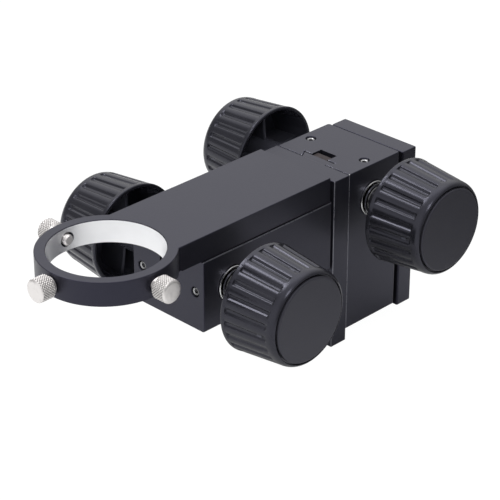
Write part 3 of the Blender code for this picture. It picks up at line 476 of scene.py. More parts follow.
def turned_metal(name, colour, roughness, lines, marks, dulling=0.55):
    """A bright metal with fine turning marks, a little dulling, and painted shade where a cut is deep."""
    material = bpy.data.materials.new(name)
    material.use_nodes = True
    coat = Graph(material.node_tree)
    shader = material.node_tree.nodes["Principled BSDF"]
    shader.inputs["Metallic"].default_value = 1.0
    place = coat.node("ShaderNodeTexCoord", {}, {}, 3)
    stretched = coat.node("ShaderNodeVectorMath", {"operation": "MULTIPLY"}, {0: place, 1: lines})
    scratches = coat.noise(stretched, 1.0, 3.0, 0.65)
    dull = coat.noise(place, 420.0, 3.0)
    dark = tuple(STAIN_SHARE * part for part in colour) + (1.0,)
    stain = coat.blend(dull.step(0.42, 0.72) * dulling, (*colour, 1.0), dark)
    # Painted shade: marked faces darken towards a dark share of the metal's colour.
    painted_shade = coat.node("ShaderNodeAttribute", {"attribute_name": "painted_shade"}, {}, 2)
    shade_colour = tuple(SHADE_SHARE * part for part in colour) + (1.0,)
    coat.feed(shader.inputs["Base Color"], coat.blend(painted_shade, stain, shade_colour))
    coat.feed(shader.inputs["Roughness"], roughness + 0.14 * scratches + 0.10 * dull)
    bump = coat.node("ShaderNodeBump", {}, {"Strength": marks, "Distance": 0.00003, "Height": scratches})
    coat.feed(shader.inputs["Normal"], bump)
    return material


STEEL = turned_metal("plated_steel", (0.46, 0.46, 0.47), 0.24, lines=(900.0, 900.0, 900.0), marks=0.30)
KEY_RADIUS = 0.0017
SCREW_SHANK_RADIUS = 0.0020
SCREW_EDGE = 0.0003
SCREW_STEPS = 40


def hexagon(radius, low, high):
    """A cutter for a hexagon key along Z."""
    turns = [math.pi * side / 3 for side in range(6)]
    outline = [(radius * math.cos(turn), radius * math.sin(turn)) for turn in turns]
    return finished(raised(outline, low, high))


def socket_head(radius, height, reach):
    """A cap screw along Z, its head's top at Z = 0."""
    profile = [
        (0.0, 0.0),
        (radius - SCREW_EDGE, 0.0),
        (radius, -SCREW_EDGE),
        (radius, SCREW_EDGE - height),
        (radius - SCREW_EDGE, -height),
        (SCREW_SHANK_RADIUS, -height),
        (SCREW_SHANK_RADIUS, -height - reach),
        (0.0, -height - reach),
    ]
    key = hexagon(KEY_RADIUS, -height / 2, OVERRUN)
    return carved(finished(turned(profile, SCREW_STEPS)), [key])


def screws(names, piece, body):
    """Puts a cap screw at each of these CAD screws, its head towards +Y."""
    low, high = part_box(names[0])
    reach = high.y - low.y - SCREW_HEAD_HEIGHT
    mesh = socket_head(SCREW_HEAD_RADIUS, SCREW_HEAD_HEIGHT, reach)
    for number, name in enumerate(names, start=1):
        place = middle(name)
        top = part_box(name)[1].y
        put = placed(mesh, to_back, Matrix.Translation((place.x, top, place.z)))
        show(f"{piece}_{number}", put, STEEL, body, [name])


lift_screws = [f"lift_plate_screw_{number}" for number in range(1, 5)]
screws(plate_screws, "plate_cap_screw", "base")
screws(lift_screws, "lift_cap_screw", "lift")

# The two blocks: alike machined housings with a dovetail channel and a rack pocket down one face and a
# chamfered far end, bored across for the pinion shaft, painted black, and rubbed bright at some edges. The
# rear one stands up, the front one lies flat on its back.

CHANNEL_NECK = 0.0070
CHANNEL_BASE = 0.00952
CHANNEL_DEPTH = 0.00435
POCKET_HALF = 0.0049
POCKET_DEPTH = 0.0104
BLOCK_BACK_ROUND = 0.0013
BLOCK_EDGE = 0.00045
BLOCK_FOOT_CHAMFER = 0.0012
CHANNEL_EDGE = 0.0002
BUSH_BORE = 0.0085
LOCK_HOLE_RADIUS = 0.0023
LOCK_SCREW_X = 0.0165
ROUND = 64
BLOCK_WEAR = 0.12


def module_frame(housing, lying):
    """The matrix from a module's own frame: X along the shaft, Y into the block, Z towards the knob end."""
    low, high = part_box(housing)
    place = Matrix.Translation((0.0, low.y, high.z))
    return place @ Euler((math.pi / 2, math.pi, 0.0)).to_matrix().to_4x4() if lying else place


def block(width, depth, length, shaft_depth, shaft_down):
    """A housing in its module's frame, its knob end at Z = 0."""
    half = width / 2
    outline = [
        (POCKET_HALF, POCKET_DEPTH),
        (POCKET_HALF, CHANNEL_DEPTH),
        (CHANNEL_BASE, CHANNEL_DEPTH),
        (CHANNEL_NECK, 0.0),
        (half, 0.0),
        (half, depth),
    ]
    outline += [(-x, y) for x, y in reversed(outline)]
    work = raised(outline, -length, 0.0)

    def on_back(edge):
        first, second = (corner.co for corner in edge.verts)
        return min(first.y, second.y) > depth - OVERRUN and abs(first.x - second.x) < OVERRUN

    def outside_neck(edge):
        return max(abs(corner.co.x) for corner in edge.verts) > CHANNEL_NECK - OVERRUN

    def on_knob_end(edge):
        return min(corner.co.z for corner in edge.verts) > -SUNK

    soften(work, BLOCK_BACK_ROUND, steps=5, test=on_back)
    soften(work, BLOCK_EDGE, test=outside_neck)
    soften(work, CHANNEL_EDGE, steps=2, test=on_knob_end)
    past = half + OVERRUN
    bore_profile = [(0.0, past), (BUSH_BORE, past), (BUSH_BORE, -past), (0.0, -past)]
    bore = finished(
        turned(bore_profile, ROUND), quarter_turn("Y", 1), Matrix.Translation((0.0, shaft_depth, -shaft_down))
    )
    lock = drill(LOCK_HOLE_RADIUS, shaft_down)
    locks = [placed(lock, Matrix.Translation((side * LOCK_SCREW_X, shaft_depth, 0.0))) for side in (-1, 1)]
    cut = BLOCK_FOOT_CHAMFER
    diamond = [(cut, 0.0), (0.0, cut), (-cut, 0.0), (0.0, -cut)]
    wedge = finished(raised(diamond, -depth - OVERRUN, OVERRUN), quarter_turn("X", 1))
    feet = [placed(wedge, Matrix.Translation((side * half, 0.0, -length))) for side in (-1, 1)]
    return carved(finished(work), [bore, together(locks), together(feet)])


modules = {"rear": module_frame("rear_housing", False), "front": module_frame("front_housing", True)}
shafts = {name: middle(f"{name}_pinion_shaft") for name in modules}
bodies = {"rear": "base", "front": "lift"}
block_low, block_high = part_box("rear_housing")
block_size = block_high - block_low
shaft_depth = shafts["rear"].y - block_low.y
shaft_down = block_high.z - shafts["rear"].z
block_mesh = block(block_size.x, block_size.y, block_size.z, shaft_depth, shaft_down)
# (low corner, high corner, wear) in the module's own frame
RUBBED = {
    "rear": [
        ((-0.0225, -0.0001, -0.0006), (0.0225, 0.0006, 0.0001), 0.50),
        ((0.0150, -0.0001, -0.0006), (0.0205, 0.0006, 0.0001), 0.95),
        ((-0.0100, -0.0001, -0.0006), (0.0100, 0.0120, 0.0001), 0.55),
        ((0.0212, -0.0001, -0.0450), (0.0225, 0.0007, 0.0), 0.74),
        ((0.0210, -0.0001, -0.0012), (0.0225, 0.0010, 0.0001), 1.20),
    ],
    "front": [((-0.0225, -0.0001, -0.0800), (-0.0212, 0.0007, 0.0), 0.74)],
}
for name, matrix in modules.items():
    mesh = block_mesh.copy()
    wear(mesh, BLOCK_WEAR, RUBBED[name])
    mesh.transform(matrix)
    show(f"{name}_block", mesh, PAINT, bodies[name], [f"{name}_housing"])

# The lock screws: steel grub screws in the blocks' knob ends, which pinch the bushes. Their rims and
# sockets are scuffed bright by the key.

LOCK_SCREW_RADIUS = 0.0020
LOCK_KEY_RADIUS = 0.0012
LOCK_DISH = 0.0003
LOCK_PITCH = 0.0007
LOCK_THREAD = 0.0003
LOCK_CREST = 0.2
LOCK_ROOT = 0.6
LOCK_STEPS = 32


def grub_screw(length):
    """A grub screw along Z, its socket end at Z = 0."""
    profile = [
        (0.0, -LOCK_DISH),
        (LOCK_KEY_RADIUS, -LOCK_DISH),
        (LOCK_SCREW_RADIUS - LOCK_DISH, 0.0),
        (LOCK_SCREW_RADIUS, -LOCK_DISH),
    ]
    for turn in range(int(length / LOCK_PITCH)):
        down = -LOCK_DISH - turn * LOCK_PITCH
        profile.append((LOCK_SCREW_RADIUS, down - LOCK_PITCH * LOCK_CREST))
        profile.append((LOCK_SCREW_RADIUS - LOCK_THREAD, down - LOCK_PITCH * LOCK_ROOT))
    profile += [(LOCK_SCREW_RADIUS, -length), (0.0, -length)]
    key = hexagon(LOCK_KEY_RADIUS, -LOCK_SCREW_RADIUS, OVERRUN)
    return carved(finished(turned(profile, LOCK_STEPS)), [key])


SCUFFED = turned_metal("scuffed_steel", (0.40, 0.40, 0.41), 0.16, lines=(1500.0, 1500.0, 1500.0), marks=0.9)
for name, matrix in modules.items():
    for side in ("left", "right"):
        node = f"{name}_bush_lock_screw_{side}"
        low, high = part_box(node)
        centre = middle(node)
        if name == "rear":
            top = Matrix.Translation((centre.x, centre.y, high.z))
            mesh = grub_screw(high.z - low.z)
        else:
            top = Matrix.Translation((centre.x, low.y, centre.z)) @ quarter_turn("X", 1)
            mesh = grub_screw(high.y - low.y)
        mesh.transform(top)
        show(f"{name}_grub_screw_{side}", mesh, SCUFFED, bodies[name], [node])

# The lift plate: a thick aluminium plate, level with the rear block's top, its dovetail tongue milled on the
# back and painted with it. It carries the front block on its face.

PLATE_HALF = 0.0224
PLATE_CORNER = 0.0004
PLATE_CORNER_FACETS = 3
TONGUE_SHORT = 0.0003
TONGUE_NECK = 0.0067
TONGUE_BASE = 0.00921
TONGUE_DEPTH = 0.0041
TONGUE_EDGE = 0.0003
SLIDE_GAP = 0.00035
PLATE_FACE_EDGE = 0.0004
LEVEL_ERROR = 0.0001
LIFT_WEAR = 0.14
LIFT_RUBBED = [((0.0216, -0.0560, -0.0450), (0.0226, -0.0550, 0.0414), 0.72)]


def arc(x, y, radius, start, end, steps):
    turns = [start + (end - start) * i / steps for i in range(steps + 1)]
    return [(x + radius * math.cos(turn), y + radius * math.sin(turn)) for turn in turns]


def tongue(root, low, high):
    """A dovetail tongue in its module's frame, its narrow root at Y = root."""
    half = [(TONGUE_NECK, root), (TONGUE_NECK, -SLIDE_GAP), (TONGUE_BASE, TONGUE_DEPTH)]
    outline = half + [(-x, y) for x, y in reversed(half)]
    return finished(soften(raised(outline, low, high), TONGUE_EDGE, steps=2))


lift_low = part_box("lift_plate")[0]
slide_face = block_low.y
plate_back = slide_face - SLIDE_GAP
inset = PLATE_HALF - PLATE_CORNER
outline = []
for x, y, start in (
    (inset, lift_low.y + PLATE_CORNER, -0.5),
    (inset, plate_back - PLATE_CORNER, 0.0),
    (-inset, plate_back - PLATE_CORNER, 0.5),
    (-inset, lift_low.y + PLATE_CORNER, 1.0),
):
    outline += arc(x, y, PLATE_CORNER, start * math.pi, (start + 0.5) * math.pi, PLATE_CORNER_FACETS)


def on_end(edge):
    return abs(edge.verts[0].co.z - edge.verts[1].co.z) < LEVEL_ERROR


slab_top = block_high.z
slab = finished(soften(raised(outline, lift_low.z, slab_top), PLATE_FACE_EDGE, test=on_end))
pockets = [
    placed(pocket, to_back, Matrix.Translation((middle(name).x, plate_back, middle(name).z)))
    for name in lift_screws
]
slab = carved(slab, [together(pockets)])
rib = tongue(-SLIDE_GAP - SUNK, lift_low.z + PLATE_FACE_EDGE, slab_top - TONGUE_SHORT)
rib.transform(Matrix.Translation((0.0, slide_face, 0.0)))
lift_mesh = wear(together([slab, rib]), LIFT_WEAR, LIFT_RUBBED)
show("lift_slab", lift_mesh, PAINT, "lift", ["lift_plate"])

# The ring arm: one aluminium plate, milled to a bar with a ring at its end and a dovetail tongue under it,
# painted black. The ring is bored after painting, so its inside is bare and shows the boring tool's lines.

RING_BORE = 0.0250
RING_WALL = 0.00485
RING_HEIGHT = 0.0110
ARM_HALF = 0.0215
ARM_EDGE = 0.0004
BORE_EDGE = 0.0003
RING_STEPS = 180
THUMB_HOLE_RADIUS = 0.0028
THUMB_HOLE_SINK = 0.0005
THUMB_DOWN = 0.0055
THUMB_HOLE_STEPS = 40
ARM_TONGUE_SHORT = 0.0005

arm_low, arm_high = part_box("ring_arm")
ring_centre = Vector((0.0, arm_low.y + RING_BORE + RING_WALL, arm_high.z))
ring_outer = RING_BORE + RING_WALL
underside = modules["front"].to_translation().z + SLIDE_GAP
meets = math.acos(ARM_HALF / ring_outer)
ring_arc = arc(0.0, ring_centre.y, ring_outer, math.pi - meets, 2 * math.pi + meets, RING_STEPS)
outline = [(ARM_HALF, arm_high.y), (-ARM_HALF, arm_high.y)] + ring_arc
bar = finished(soften(raised(outline, underside, arm_high.z), ARM_EDGE, test=on_end))
relief = arm_high.z - RING_HEIGHT
to_ring = Matrix.Translation((0.0, ring_centre.y, 0.0))
past = ring_outer + OVERRUN
under = underside - OVERRUN
cut_profile = [(0.0, relief), (past, relief), (past, under), (0.0, under)]
under_cut = finished(turned(cut_profile, RING_STEPS), to_ring)
flare = RING_BORE + BORE_EDGE + OVERRUN
bore_profile = [
    (0.0, arm_high.z + OVERRUN),
    (flare, arm_high.z + OVERRUN),
    (RING_BORE, arm_high.z - BORE_EDGE),
    (RING_BORE, relief + BORE_EDGE),
    (flare, relief - OVERRUN),
    (0.0, relief - OVERRUN),
]
bore = finished(turned(bore_profile, RING_STEPS), to_ring)
THUMBS = {"front": (0.0, -1.0), "right": (1.0, 0.0), "left": (-1.0, 0.0)}
thumb_level = arm_high.z - THUMB_DOWN
thumb_frames = {}
for name, (x, y) in THUMBS.items():
    outward = Vector((x, y, 0.0))
    turn = outward.to_track_quat("Z", "Y").to_matrix().to_4x4()
    thumb_frames[name] = Matrix.Translation((0.0, ring_centre.y, thumb_level)) @ turn
hole_profile = [
    (0.0, past),
    (THUMB_HOLE_RADIUS, past),
    (THUMB_HOLE_RADIUS, RING_BORE + THUMB_HOLE_SINK),
    (THUMB_HOLE_RADIUS + THUMB_HOLE_SINK + 2 * OVERRUN, RING_BORE - 2 * OVERRUN),
    (0.0, RING_BORE - 2 * OVERRUN),
]
hole = finished(turned(hole_profile, THUMB_HOLE_STEPS))
thumb_holes = together([placed(hole, matrix) for matrix in thumb_frames.values()])
arm_tongue_start = arm_high.y - ARM_TONGUE_SHORT
tongue_reach = modules["front"].to_translation().y - arm_tongue_start
arm_tongue = tongue(-SLIDE_GAP - SUNK, tongue_reach, -ARM_TONGUE_SHORT)
arm_tongue.transform(modules["front"])
arm_mesh = carved(bar, [under_cut, bore, thumb_holes])


BORE_LINES = (25.0, 25.0, 6500.0)
BORE_BRIGHT = (0.93, 0.93, 0.95, 1.0)
BORE_DULL = (0.85, 0.85, 0.87, 1.0)
BORE_FACING = 0.9


def bored_aluminium():
    """Bare aluminium from the boring tool: fine level rings, brighter and duller in patches."""
    material = bpy.data.materials.new("bored_aluminium")
    material.use_nodes = True
    coat = Graph(material.node_tree)
    shader = material.node_tree.nodes["Principled BSDF"]
    shader.inputs["Metallic"].default_value = 1.0
    place = coat.node("ShaderNodeTexCoord", {}, {}, 3)
    stretched = coat.node("ShaderNodeVectorMath", {"operation": "MULTIPLY"}, {0: place, 1: BORE_LINES})
    lines = coat.noise(stretched, 1.0, 3.0, 0.7)
    cloud = coat.noise(place, 70.0, 3.0)
    tone = coat.blend(cloud.step(0.3, 0.75) * 0.5, BORE_BRIGHT, BORE_DULL)
    coat.feed(shader.inputs["Base Color"], tone)
    coat.feed(shader.inputs["Roughness"], 0.36 + 0.14 * lines)
    bump = coat.node("ShaderNodeBump", {}, {"Strength": 0.35, "Distance": 0.00003, "Height": lines})
    coat.feed(shader.inputs["Normal"], bump)
    return material


def bare_inside(mesh, centre, reach):
    """Gives the faces inside a radius of the ring's middle the second material."""
    for face in mesh.polygons:
        away = math.hypot(face.center.x - centre.x, face.center.y - centre.y)
        outwards = face.normal.x * (face.center.x - centre.x) + face.normal.y * (face.center.y - centre.y)
        if away < reach and outwards < -BORE_FACING * away:
            face.material_index = 1


arm_mesh = together([arm_mesh, arm_tongue])
arm_mesh.materials.append(PAINT)
arm_mesh.materials.append(bored_aluminium())
bare_inside(arm_mesh, ring_centre, RING_BORE + 2 * BORE_EDGE)
show("arm_and_ring", arm_mesh, PAINT, "arm", ["ring_arm"])

# The bushes and tension washers: turned steel rings with bright chrome, round the shaft between block and
# knob. A washer has a narrow rim, and what lies below the rim is darkened as painted shade.

CHROME = turned_metal(
    "chrome_rings", (0.97, 0.97, 0.98), 0.05, lines=(2600.0, 160.0, 160.0), marks=0.05, dulling=0.08
)
RING_GAP = 0.0003
SHAFT_CLEAR = 0.0043
RIM_EDGE = 0.0002
RIM_DROP = 0.0009
WASHER_RIM = 0.0009
# How much painted shade lies below a ring's rim.
RIM_SHADE = 0.8


def ring_along_x(inner, profile):
    """A turned ring along X from its (radius, distance) profile, with painted shade where it lies below its
    rim.
    """
    rim = max(radius for radius, _ in profile)
    closed = [(inner, profile[0][1]), *profile, (inner, profile[-1][1])]
    mesh = finished(turned(closed, ROUND, closed=True), quarter_turn("Y", 1))
    painted_shade = mesh.attributes.new("painted_shade", "FLOAT", "FACE")
    for face in mesh.polygons:
        away = math.hypot(face.center.y, face.center.z)
        painted_shade.data[face.index].value = RIM_SHADE if away < rim - RIM_DROP / 3 else 0.0
    return mesh


def bush(outer, start, end):
    """A bush with a broken edge, its end clear of the washer."""
    end -= RING_GAP
    return ring_along_x(SHAFT_CLEAR, [(outer, start), (outer, end - RIM_EDGE), (outer - RIM_EDGE, end)])


def washer(outer, start, end):
    """A tension washer with a narrow bright rim towards the block."""
    drop = outer - RIM_DROP
    profile = [
        (outer - RIM_EDGE, start),
        (outer, start + RIM_EDGE),
        (outer, start + WASHER_RIM),
        (drop, start + WASHER_RIM + RIM_EDGE),
        (drop, end),
    ]
    return ring_along_x(SHAFT_CLEAR, profile)


SIDES = {"right": 1.0, "left": -1.0}
drives = {"rear": "rear_drive", "front": "front_drive"}
for name, axis in shafts.items():
    for side, sign in SIDES.items():
        flip = Matrix.Translation(axis) @ Matrix.Rotation(0.0 if sign > 0 else math.pi, 4, "Z")
        for part, piece, body, make in (
            ("bush", "bearing_ring", bodies[name], bush),
            ("tension_washer", "tension_ring", drives[name], washer),
        ):
            node = f"{name}_{part}_{side}"
            low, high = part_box(node)
            mesh = make((high.z - low.z) / 2, *sorted((abs(low.x), abs(high.x))))
            mesh.transform(flip)
            show(f"{name}_{piece}_{side}", mesh, CHROME, body, [node])

# The knobs: hollow moulded cups of black plastic with a fluted grip, a rounded shoulder, and a hub held by
# four ribs, coloured lighter inside as painted light. Each is pressed on its shaft end and closed by a matt
# cap disc.

KNOB_FACE = 0.0670
KNOB_LENGTH = 0.0279
KNOB_MOUTH_RADIUS = 0.0245
# (distance back from the face, radius), down the shoulder
KNOB_SHOULDER = (
    (0.00330, 0.02190),
    (0.00280, 0.02184),
    (0.00230, 0.02175),
    (0.00180, 0.02161),
    (0.00140, 0.02145),
    (0.00100, 0.02124),
    (0.00070, 0.02104),
    (0.00045, 0.02085),
    (0.00025, 0.02065),
    (0.00010, 0.02045),
    (0.00000, 0.02025),
)
KNOB_WALL = 0.0018
KNOB_LIP = 0.0004
LIP_STEPS = 5
CAVITY_DEPTH = 0.0210
HUB_RADIUS = 0.0068
RIBS = 4
RIB_HALF = 0.0008
RIB_START = 0.0065
CAP_RECESS_RADIUS = 0.0200
CAP_RECESS_DEPTH = 0.0009
GROOVES = 24
GROOVE_DEPTH = 0.0009
GROOVE_START = 0.0022
GROOVE_END = 0.0241
GROOVE_BEGIN = 0.0004
GROOVE_RUN_OUT = 0.0012
GROOVE_END_STEPS = 6
GROOVE_STEPS = 8
# (share of the way to the next groove, share of the groove's depth)
GROOVE_SHARES = (
    (-0.5, 0.0),
    (-0.44, 0.01),
    (-0.38, 0.045),
    (-0.31, 0.11),
    (-0.25, 0.2),
    (-0.22, 0.28),
    (-0.195, 0.4),
    (-0.155, 0.64),
    (-0.115, 0.88),
    (-0.085, 0.97),
    (-0.05, 1.0),
    (0.05, 1.0),
    (0.085, 0.97),
    (0.115, 0.88),
    (0.155, 0.64),
    (0.195, 0.4),
    (0.22, 0.28),
    (0.25, 0.2),
    (0.31, 0.11),
    (0.38, 0.045),
    (0.44, 0.01),
)
# How far into the wall the painted light inside the cup reaches.
PAINTED_LIGHT_SHARE = 0.7
TURNS = {"front": math.radians(5.5), "rear": math.radians(-2.0)}


def knob_profile():
    """(distance from the mouth, radius, groove depth) down the outside and back up the inside."""
    shoulder_back, shoulder_radius = KNOB_SHOULDER[0]
    taper = (KNOB_MOUTH_RADIUS - shoulder_radius) / (KNOB_LENGTH - shoulder_back)

    def cone(distance):
        return KNOB_MOUTH_RADIUS - taper * distance

    stations = [(0.0, cone(0.0) - 2 * KNOB_LIP, 0.0)]
    for step in range(1, LIP_STEPS + 1):
        turn = math.pi / 2 * step / LIP_STEPS
        stations.append(
            (2 * KNOB_LIP * (1 - math.cos(turn)), cone(0.0) - 2 * KNOB_LIP * (1 - math.sin(turn)), 0.0)
        )
    for step in range(GROOVE_END_STEPS + 1):
        share = step / GROOVE_END_STEPS
        depth = GROOVE_DEPTH * math.sin(math.pi / 2 * share)
        distance = GROOVE_START + GROOVE_BEGIN * share
        stations.append((distance, cone(distance), depth))
    for step in range(1, GROOVE_STEPS):
        distance = GROOVE_START + GROOVE_BEGIN
        distance += (GROOVE_END - GROOVE_START - GROOVE_BEGIN - GROOVE_RUN_OUT) * step / GROOVE_STEPS
        stations.append((distance, cone(distance), GROOVE_DEPTH))
    for step in range(GROOVE_END_STEPS + 1):
        share = 1 - step / GROOVE_END_STEPS
        depth = GROOVE_DEPTH * math.sin(math.pi / 2 * share)
        distance = GROOVE_END - GROOVE_RUN_OUT * share
        stations.append((distance, cone(distance), depth))
    stations += [(KNOB_LENGTH - back, radius, 0.0) for back, radius in KNOB_SHOULDER]
    stations += [
        (KNOB_LENGTH - KNOB_LIP / 4, CAP_RECESS_RADIUS + KNOB_LIP / 4, 0.0),
        (KNOB_LENGTH - KNOB_LIP / 2, CAP_RECESS_RADIUS, 0.0),
        (KNOB_LENGTH - CAP_RECESS_DEPTH, CAP_RECESS_RADIUS, 0.0),
        (KNOB_LENGTH - CAP_RECESS_DEPTH, HUB_RADIUS / 2, 0.0),
        (CAVITY_DEPTH, HUB_RADIUS / 2, 0.0),
        (CAVITY_DEPTH, cone(CAVITY_DEPTH) - KNOB_WALL - 2 * KNOB_LIP, 0.0),
        (CAVITY_DEPTH - KNOB_LIP, cone(CAVITY_DEPTH) - KNOB_WALL, 0.0),
        (2 * KNOB_LIP, cone(0.0) - KNOB_WALL, 0.0),
        (0.0, cone(0.0) - KNOB_WALL + KNOB_LIP, 0.0),
    ]
    return stations


def knob_shell():
    """The cup, with its grooves, along Z from its mouth."""
    work = bmesh.new()
    rings = []
    for distance, radius, depth in knob_profile():
        ring = []
        for groove in range(GROOVES):
            for share, sink in GROOVE_SHARES:
                turn = 2 * math.pi * (groove + share) / GROOVES
                reach = radius - depth * sink
                ring.append(work.verts.new((reach * math.cos(turn), reach * math.sin(turn), distance)))
        rings.append(ring)
    for first, second in zip(rings, rings[1:] + rings[:1]):
        for i in range(len(first)):
            j = (i + 1) % len(first)
            work.faces.new((first[i], first[j], second[j], second[i]))
    bmesh.ops.recalc_face_normals(work, faces=work.faces)
    return finished(work)


def knob_mesh(hub_start):
    """The whole knob along Z, its mouth at Z = 0."""
    hub_profile = [
        (SHAFT_CLEAR, hub_start),
        (HUB_RADIUS - KNOB_LIP, hub_start),
        (HUB_RADIUS, hub_start + KNOB_LIP),
        (HUB_RADIUS + KNOB_LIP, CAVITY_DEPTH - KNOB_LIP),
        (HUB_RADIUS + 2 * KNOB_LIP, CAVITY_DEPTH + SUNK),
        (SHAFT_CLEAR, CAVITY_DEPTH + SUNK),
    ]
    hub = finished(turned(hub_profile, ROUND, closed=True))
    reach = KNOB_MOUTH_RADIUS - KNOB_WALL - SUNK
    ribs = []
    for rib in range(RIBS):
        outline = [
            (HUB_RADIUS - SUNK, RIB_START),
            (reach, RIB_START + 2 * KNOB_LIP),
            (reach - SUNK, CAVITY_DEPTH + SUNK),
            (HUB_RADIUS - SUNK, CAVITY_DEPTH + SUNK),
        ]
        web = soften(raised(outline, -RIB_HALF, RIB_HALF), KNOB_LIP, steps=2)
        ribs.append(finished(web, quarter_turn("X", 1), quarter_turn("Z", rib)))
    whole = together([knob_shell(), hub] + ribs)
    # Faces inside the cup are marked for a lighter colour, painted light in the cavity.
    lightened = whole.attributes.new("lightened", "FLOAT", "FACE")
    for face in whole.polygons:
        away = math.hypot(face.center.x, face.center.y)
        slope = (KNOB_MOUTH_RADIUS - KNOB_SHOULDER[0][1]) / KNOB_LENGTH * face.center.z
        inner = KNOB_MOUTH_RADIUS - slope - KNOB_WALL * PAINTED_LIGHT_SHARE
        lightened.data[face.index].value = float(away < inner and face.center.z < CAVITY_DEPTH + SUNK)
    return whole


PLASTIC_SHEEN = (0.80, 0.80, 1.0, 1.0)
PLASTIC_PAINTED_LIGHT = (0.054, 0.055, 0.070, 1.0)


def moulded_plastic(name, tones, roughness, grain_size, relief):
    """Black moulded plastic: a slight sheen over a fine moulded texture, with faint handling marks."""
    material = bpy.data.materials.new(name)
    material.use_nodes = True
    coat = Graph(material.node_tree)
    shader = material.node_tree.nodes["Principled BSDF"]
    place = coat.node("ShaderNodeTexCoord", {}, {}, 3)
    grain = coat.noise(place, grain_size, 2.0, 0.6)
    smear = coat.noise(place, 120.0, 3.0, 0.6)
    lightened = coat.node("ShaderNodeAttribute", {"attribute_name": "lightened"}, {}, 2)
    dark, light = tones
    clean = coat.blend(smear, (*dark, 1.0), (*light, 1.0))
    # Marked faces take a lighter colour as painted light.
    coat.feed(shader.inputs["Base Color"], coat.blend(lightened, clean, PLASTIC_PAINTED_LIGHT))
    shader.inputs["Specular Tint"].default_value = PLASTIC_SHEEN
    coat.feed(shader.inputs["Roughness"], roughness + 0.10 * smear + 0.05 * grain)
    bump = coat.node("ShaderNodeBump", {}, {"Strength": relief, "Distance": 0.00004, "Height": grain})
    coat.feed(shader.inputs["Normal"], bump)
    return material


KNOB_TONES = ((0.009, 0.009, 0.012), (0.016, 0.016, 0.020))
CAP_TONES = ((0.026, 0.0255, 0.032), (0.033, 0.0325, 0.040))
KNOB_PLASTIC = moulded_plastic("knob_plastic", KNOB_TONES, roughness=0.15, grain_size=1500.0, relief=0.08)
CAP_PLASTIC = moulded_plastic("cap_plastic", CAP_TONES, roughness=0.42, grain_size=2200.0, relief=0.30)
mouth = KNOB_FACE - KNOB_LENGTH
knob_lengthwise = knob_mesh(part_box("rear_knob_right")[0].x - mouth)
CAP_ROUND = 0.0008
CAP_DROP = 0.0005
CAP_HOLLOW = 0.00005
CAP_FLAT = 0.9
CAP_DISH = 0.5
CAP_EDGE_STEPS = 6
CAP_STEPS = 128
KNOB_SHARP = 40.0


def cap_mesh(radius, thickness):
    """The cap disc along Z, its face at Z = 0, a touch hollow in the middle."""
    profile = [(0.0, -thickness), (radius, -thickness)]
    for step in range(CAP_EDGE_STEPS + 1):
        turn = math.pi / 2 * step / CAP_EDGE_STEPS
        profile.append((radius - CAP_ROUND * (1 - math.cos(turn)), -CAP_DROP * (1 - math.sin(turn))))
    profile += [(radius * CAP_FLAT, 0.0), (radius * CAP_DISH, -CAP_HOLLOW), (0.0, -CAP_HOLLOW)]
    return finished(turned(profile, CAP_STEPS))


for name, axis in shafts.items():
    module_turn = modules[name].to_euler().to_matrix().to_4x4()
    for side, sign in SIDES.items():
        flipped = (sign < 0) != (name == "front")
        turn = Matrix.Rotation(math.pi if flipped else 0.0, 4, "Z")
        put = Matrix.Translation(axis) @ module_turn @ turn
        along = Matrix.Translation((mouth, 0.0, 0.0)) @ quarter_turn("Y", 1)
        spin = Matrix.Rotation(TURNS[name], 4, "Z")
        knob = placed(knob_lengthwise, put @ along @ spin)
        node = f"{name}_knob_{side}"
        show(f"{name}_grip_{side}", knob, KNOB_PLASTIC, drives[name], [node], KNOB_SHARP)
        cap_node = f"{name}_knob_cap_{side}"
        low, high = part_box(cap_node)
        cap = cap_mesh((high.z - low.z) / 2, high.x - low.x)
        cap_face = max(abs(low.x), abs(high.x))
        cap.transform(put @ Matrix.Translation((cap_face, 0.0, 0.0)) @ quarter_turn("Y", 1))
        show(f"{name}_cap_disc_{side}", cap, CAP_PLASTIC, drives[name], [cap_node])

# The thumb screws: nickel-plated steel, a diamond-knurled head on a fine threaded stud with a chamfered tip.

NICKEL = turned_metal(
    "nickel_plate", (0.84, 0.81, 0.80), 0.28, lines=(900.0, 900.0, 900.0), marks=0.10, dulling=0.15
)
KNURL_ROWS = 22
KNURL_STARTS = 26
KNURL_STEPS = 6
KNURL_DEPTH = 0.00035
COLLAR_LENGTH = 0.0011
HEAD_CHAMFER = 0.0008
HEAD_MIDDLE = 0.3
# (share of the chamfer beyond the knurl, share of it inwards, how deep the knurl still cuts)
HEAD_END = ((0.15, 0.1, 0.2), (0.55, 0.45, 0.0), (0.94, 1.1, 0.0), (1.0, 1.6, 0.0))
STUD_PITCH = 0.0008
STUD_THREAD = 0.00035
STUD_RADIUS = 0.0025
STUD_TIP = 0.0006
STUD_TIP_LENGTH = 0.0003
STUD_THREAD_START = 0.0005
STUD_CREST = (0.42, 0.58)
STUD_STEPS = 40
STUD_SHARP = 50.0
HEAD_RADIUS = 0.0052
HEAD_SHARP = 25.0
COLLAR_RADIUS = 0.0040
COLLAR_EDGE = 0.0002


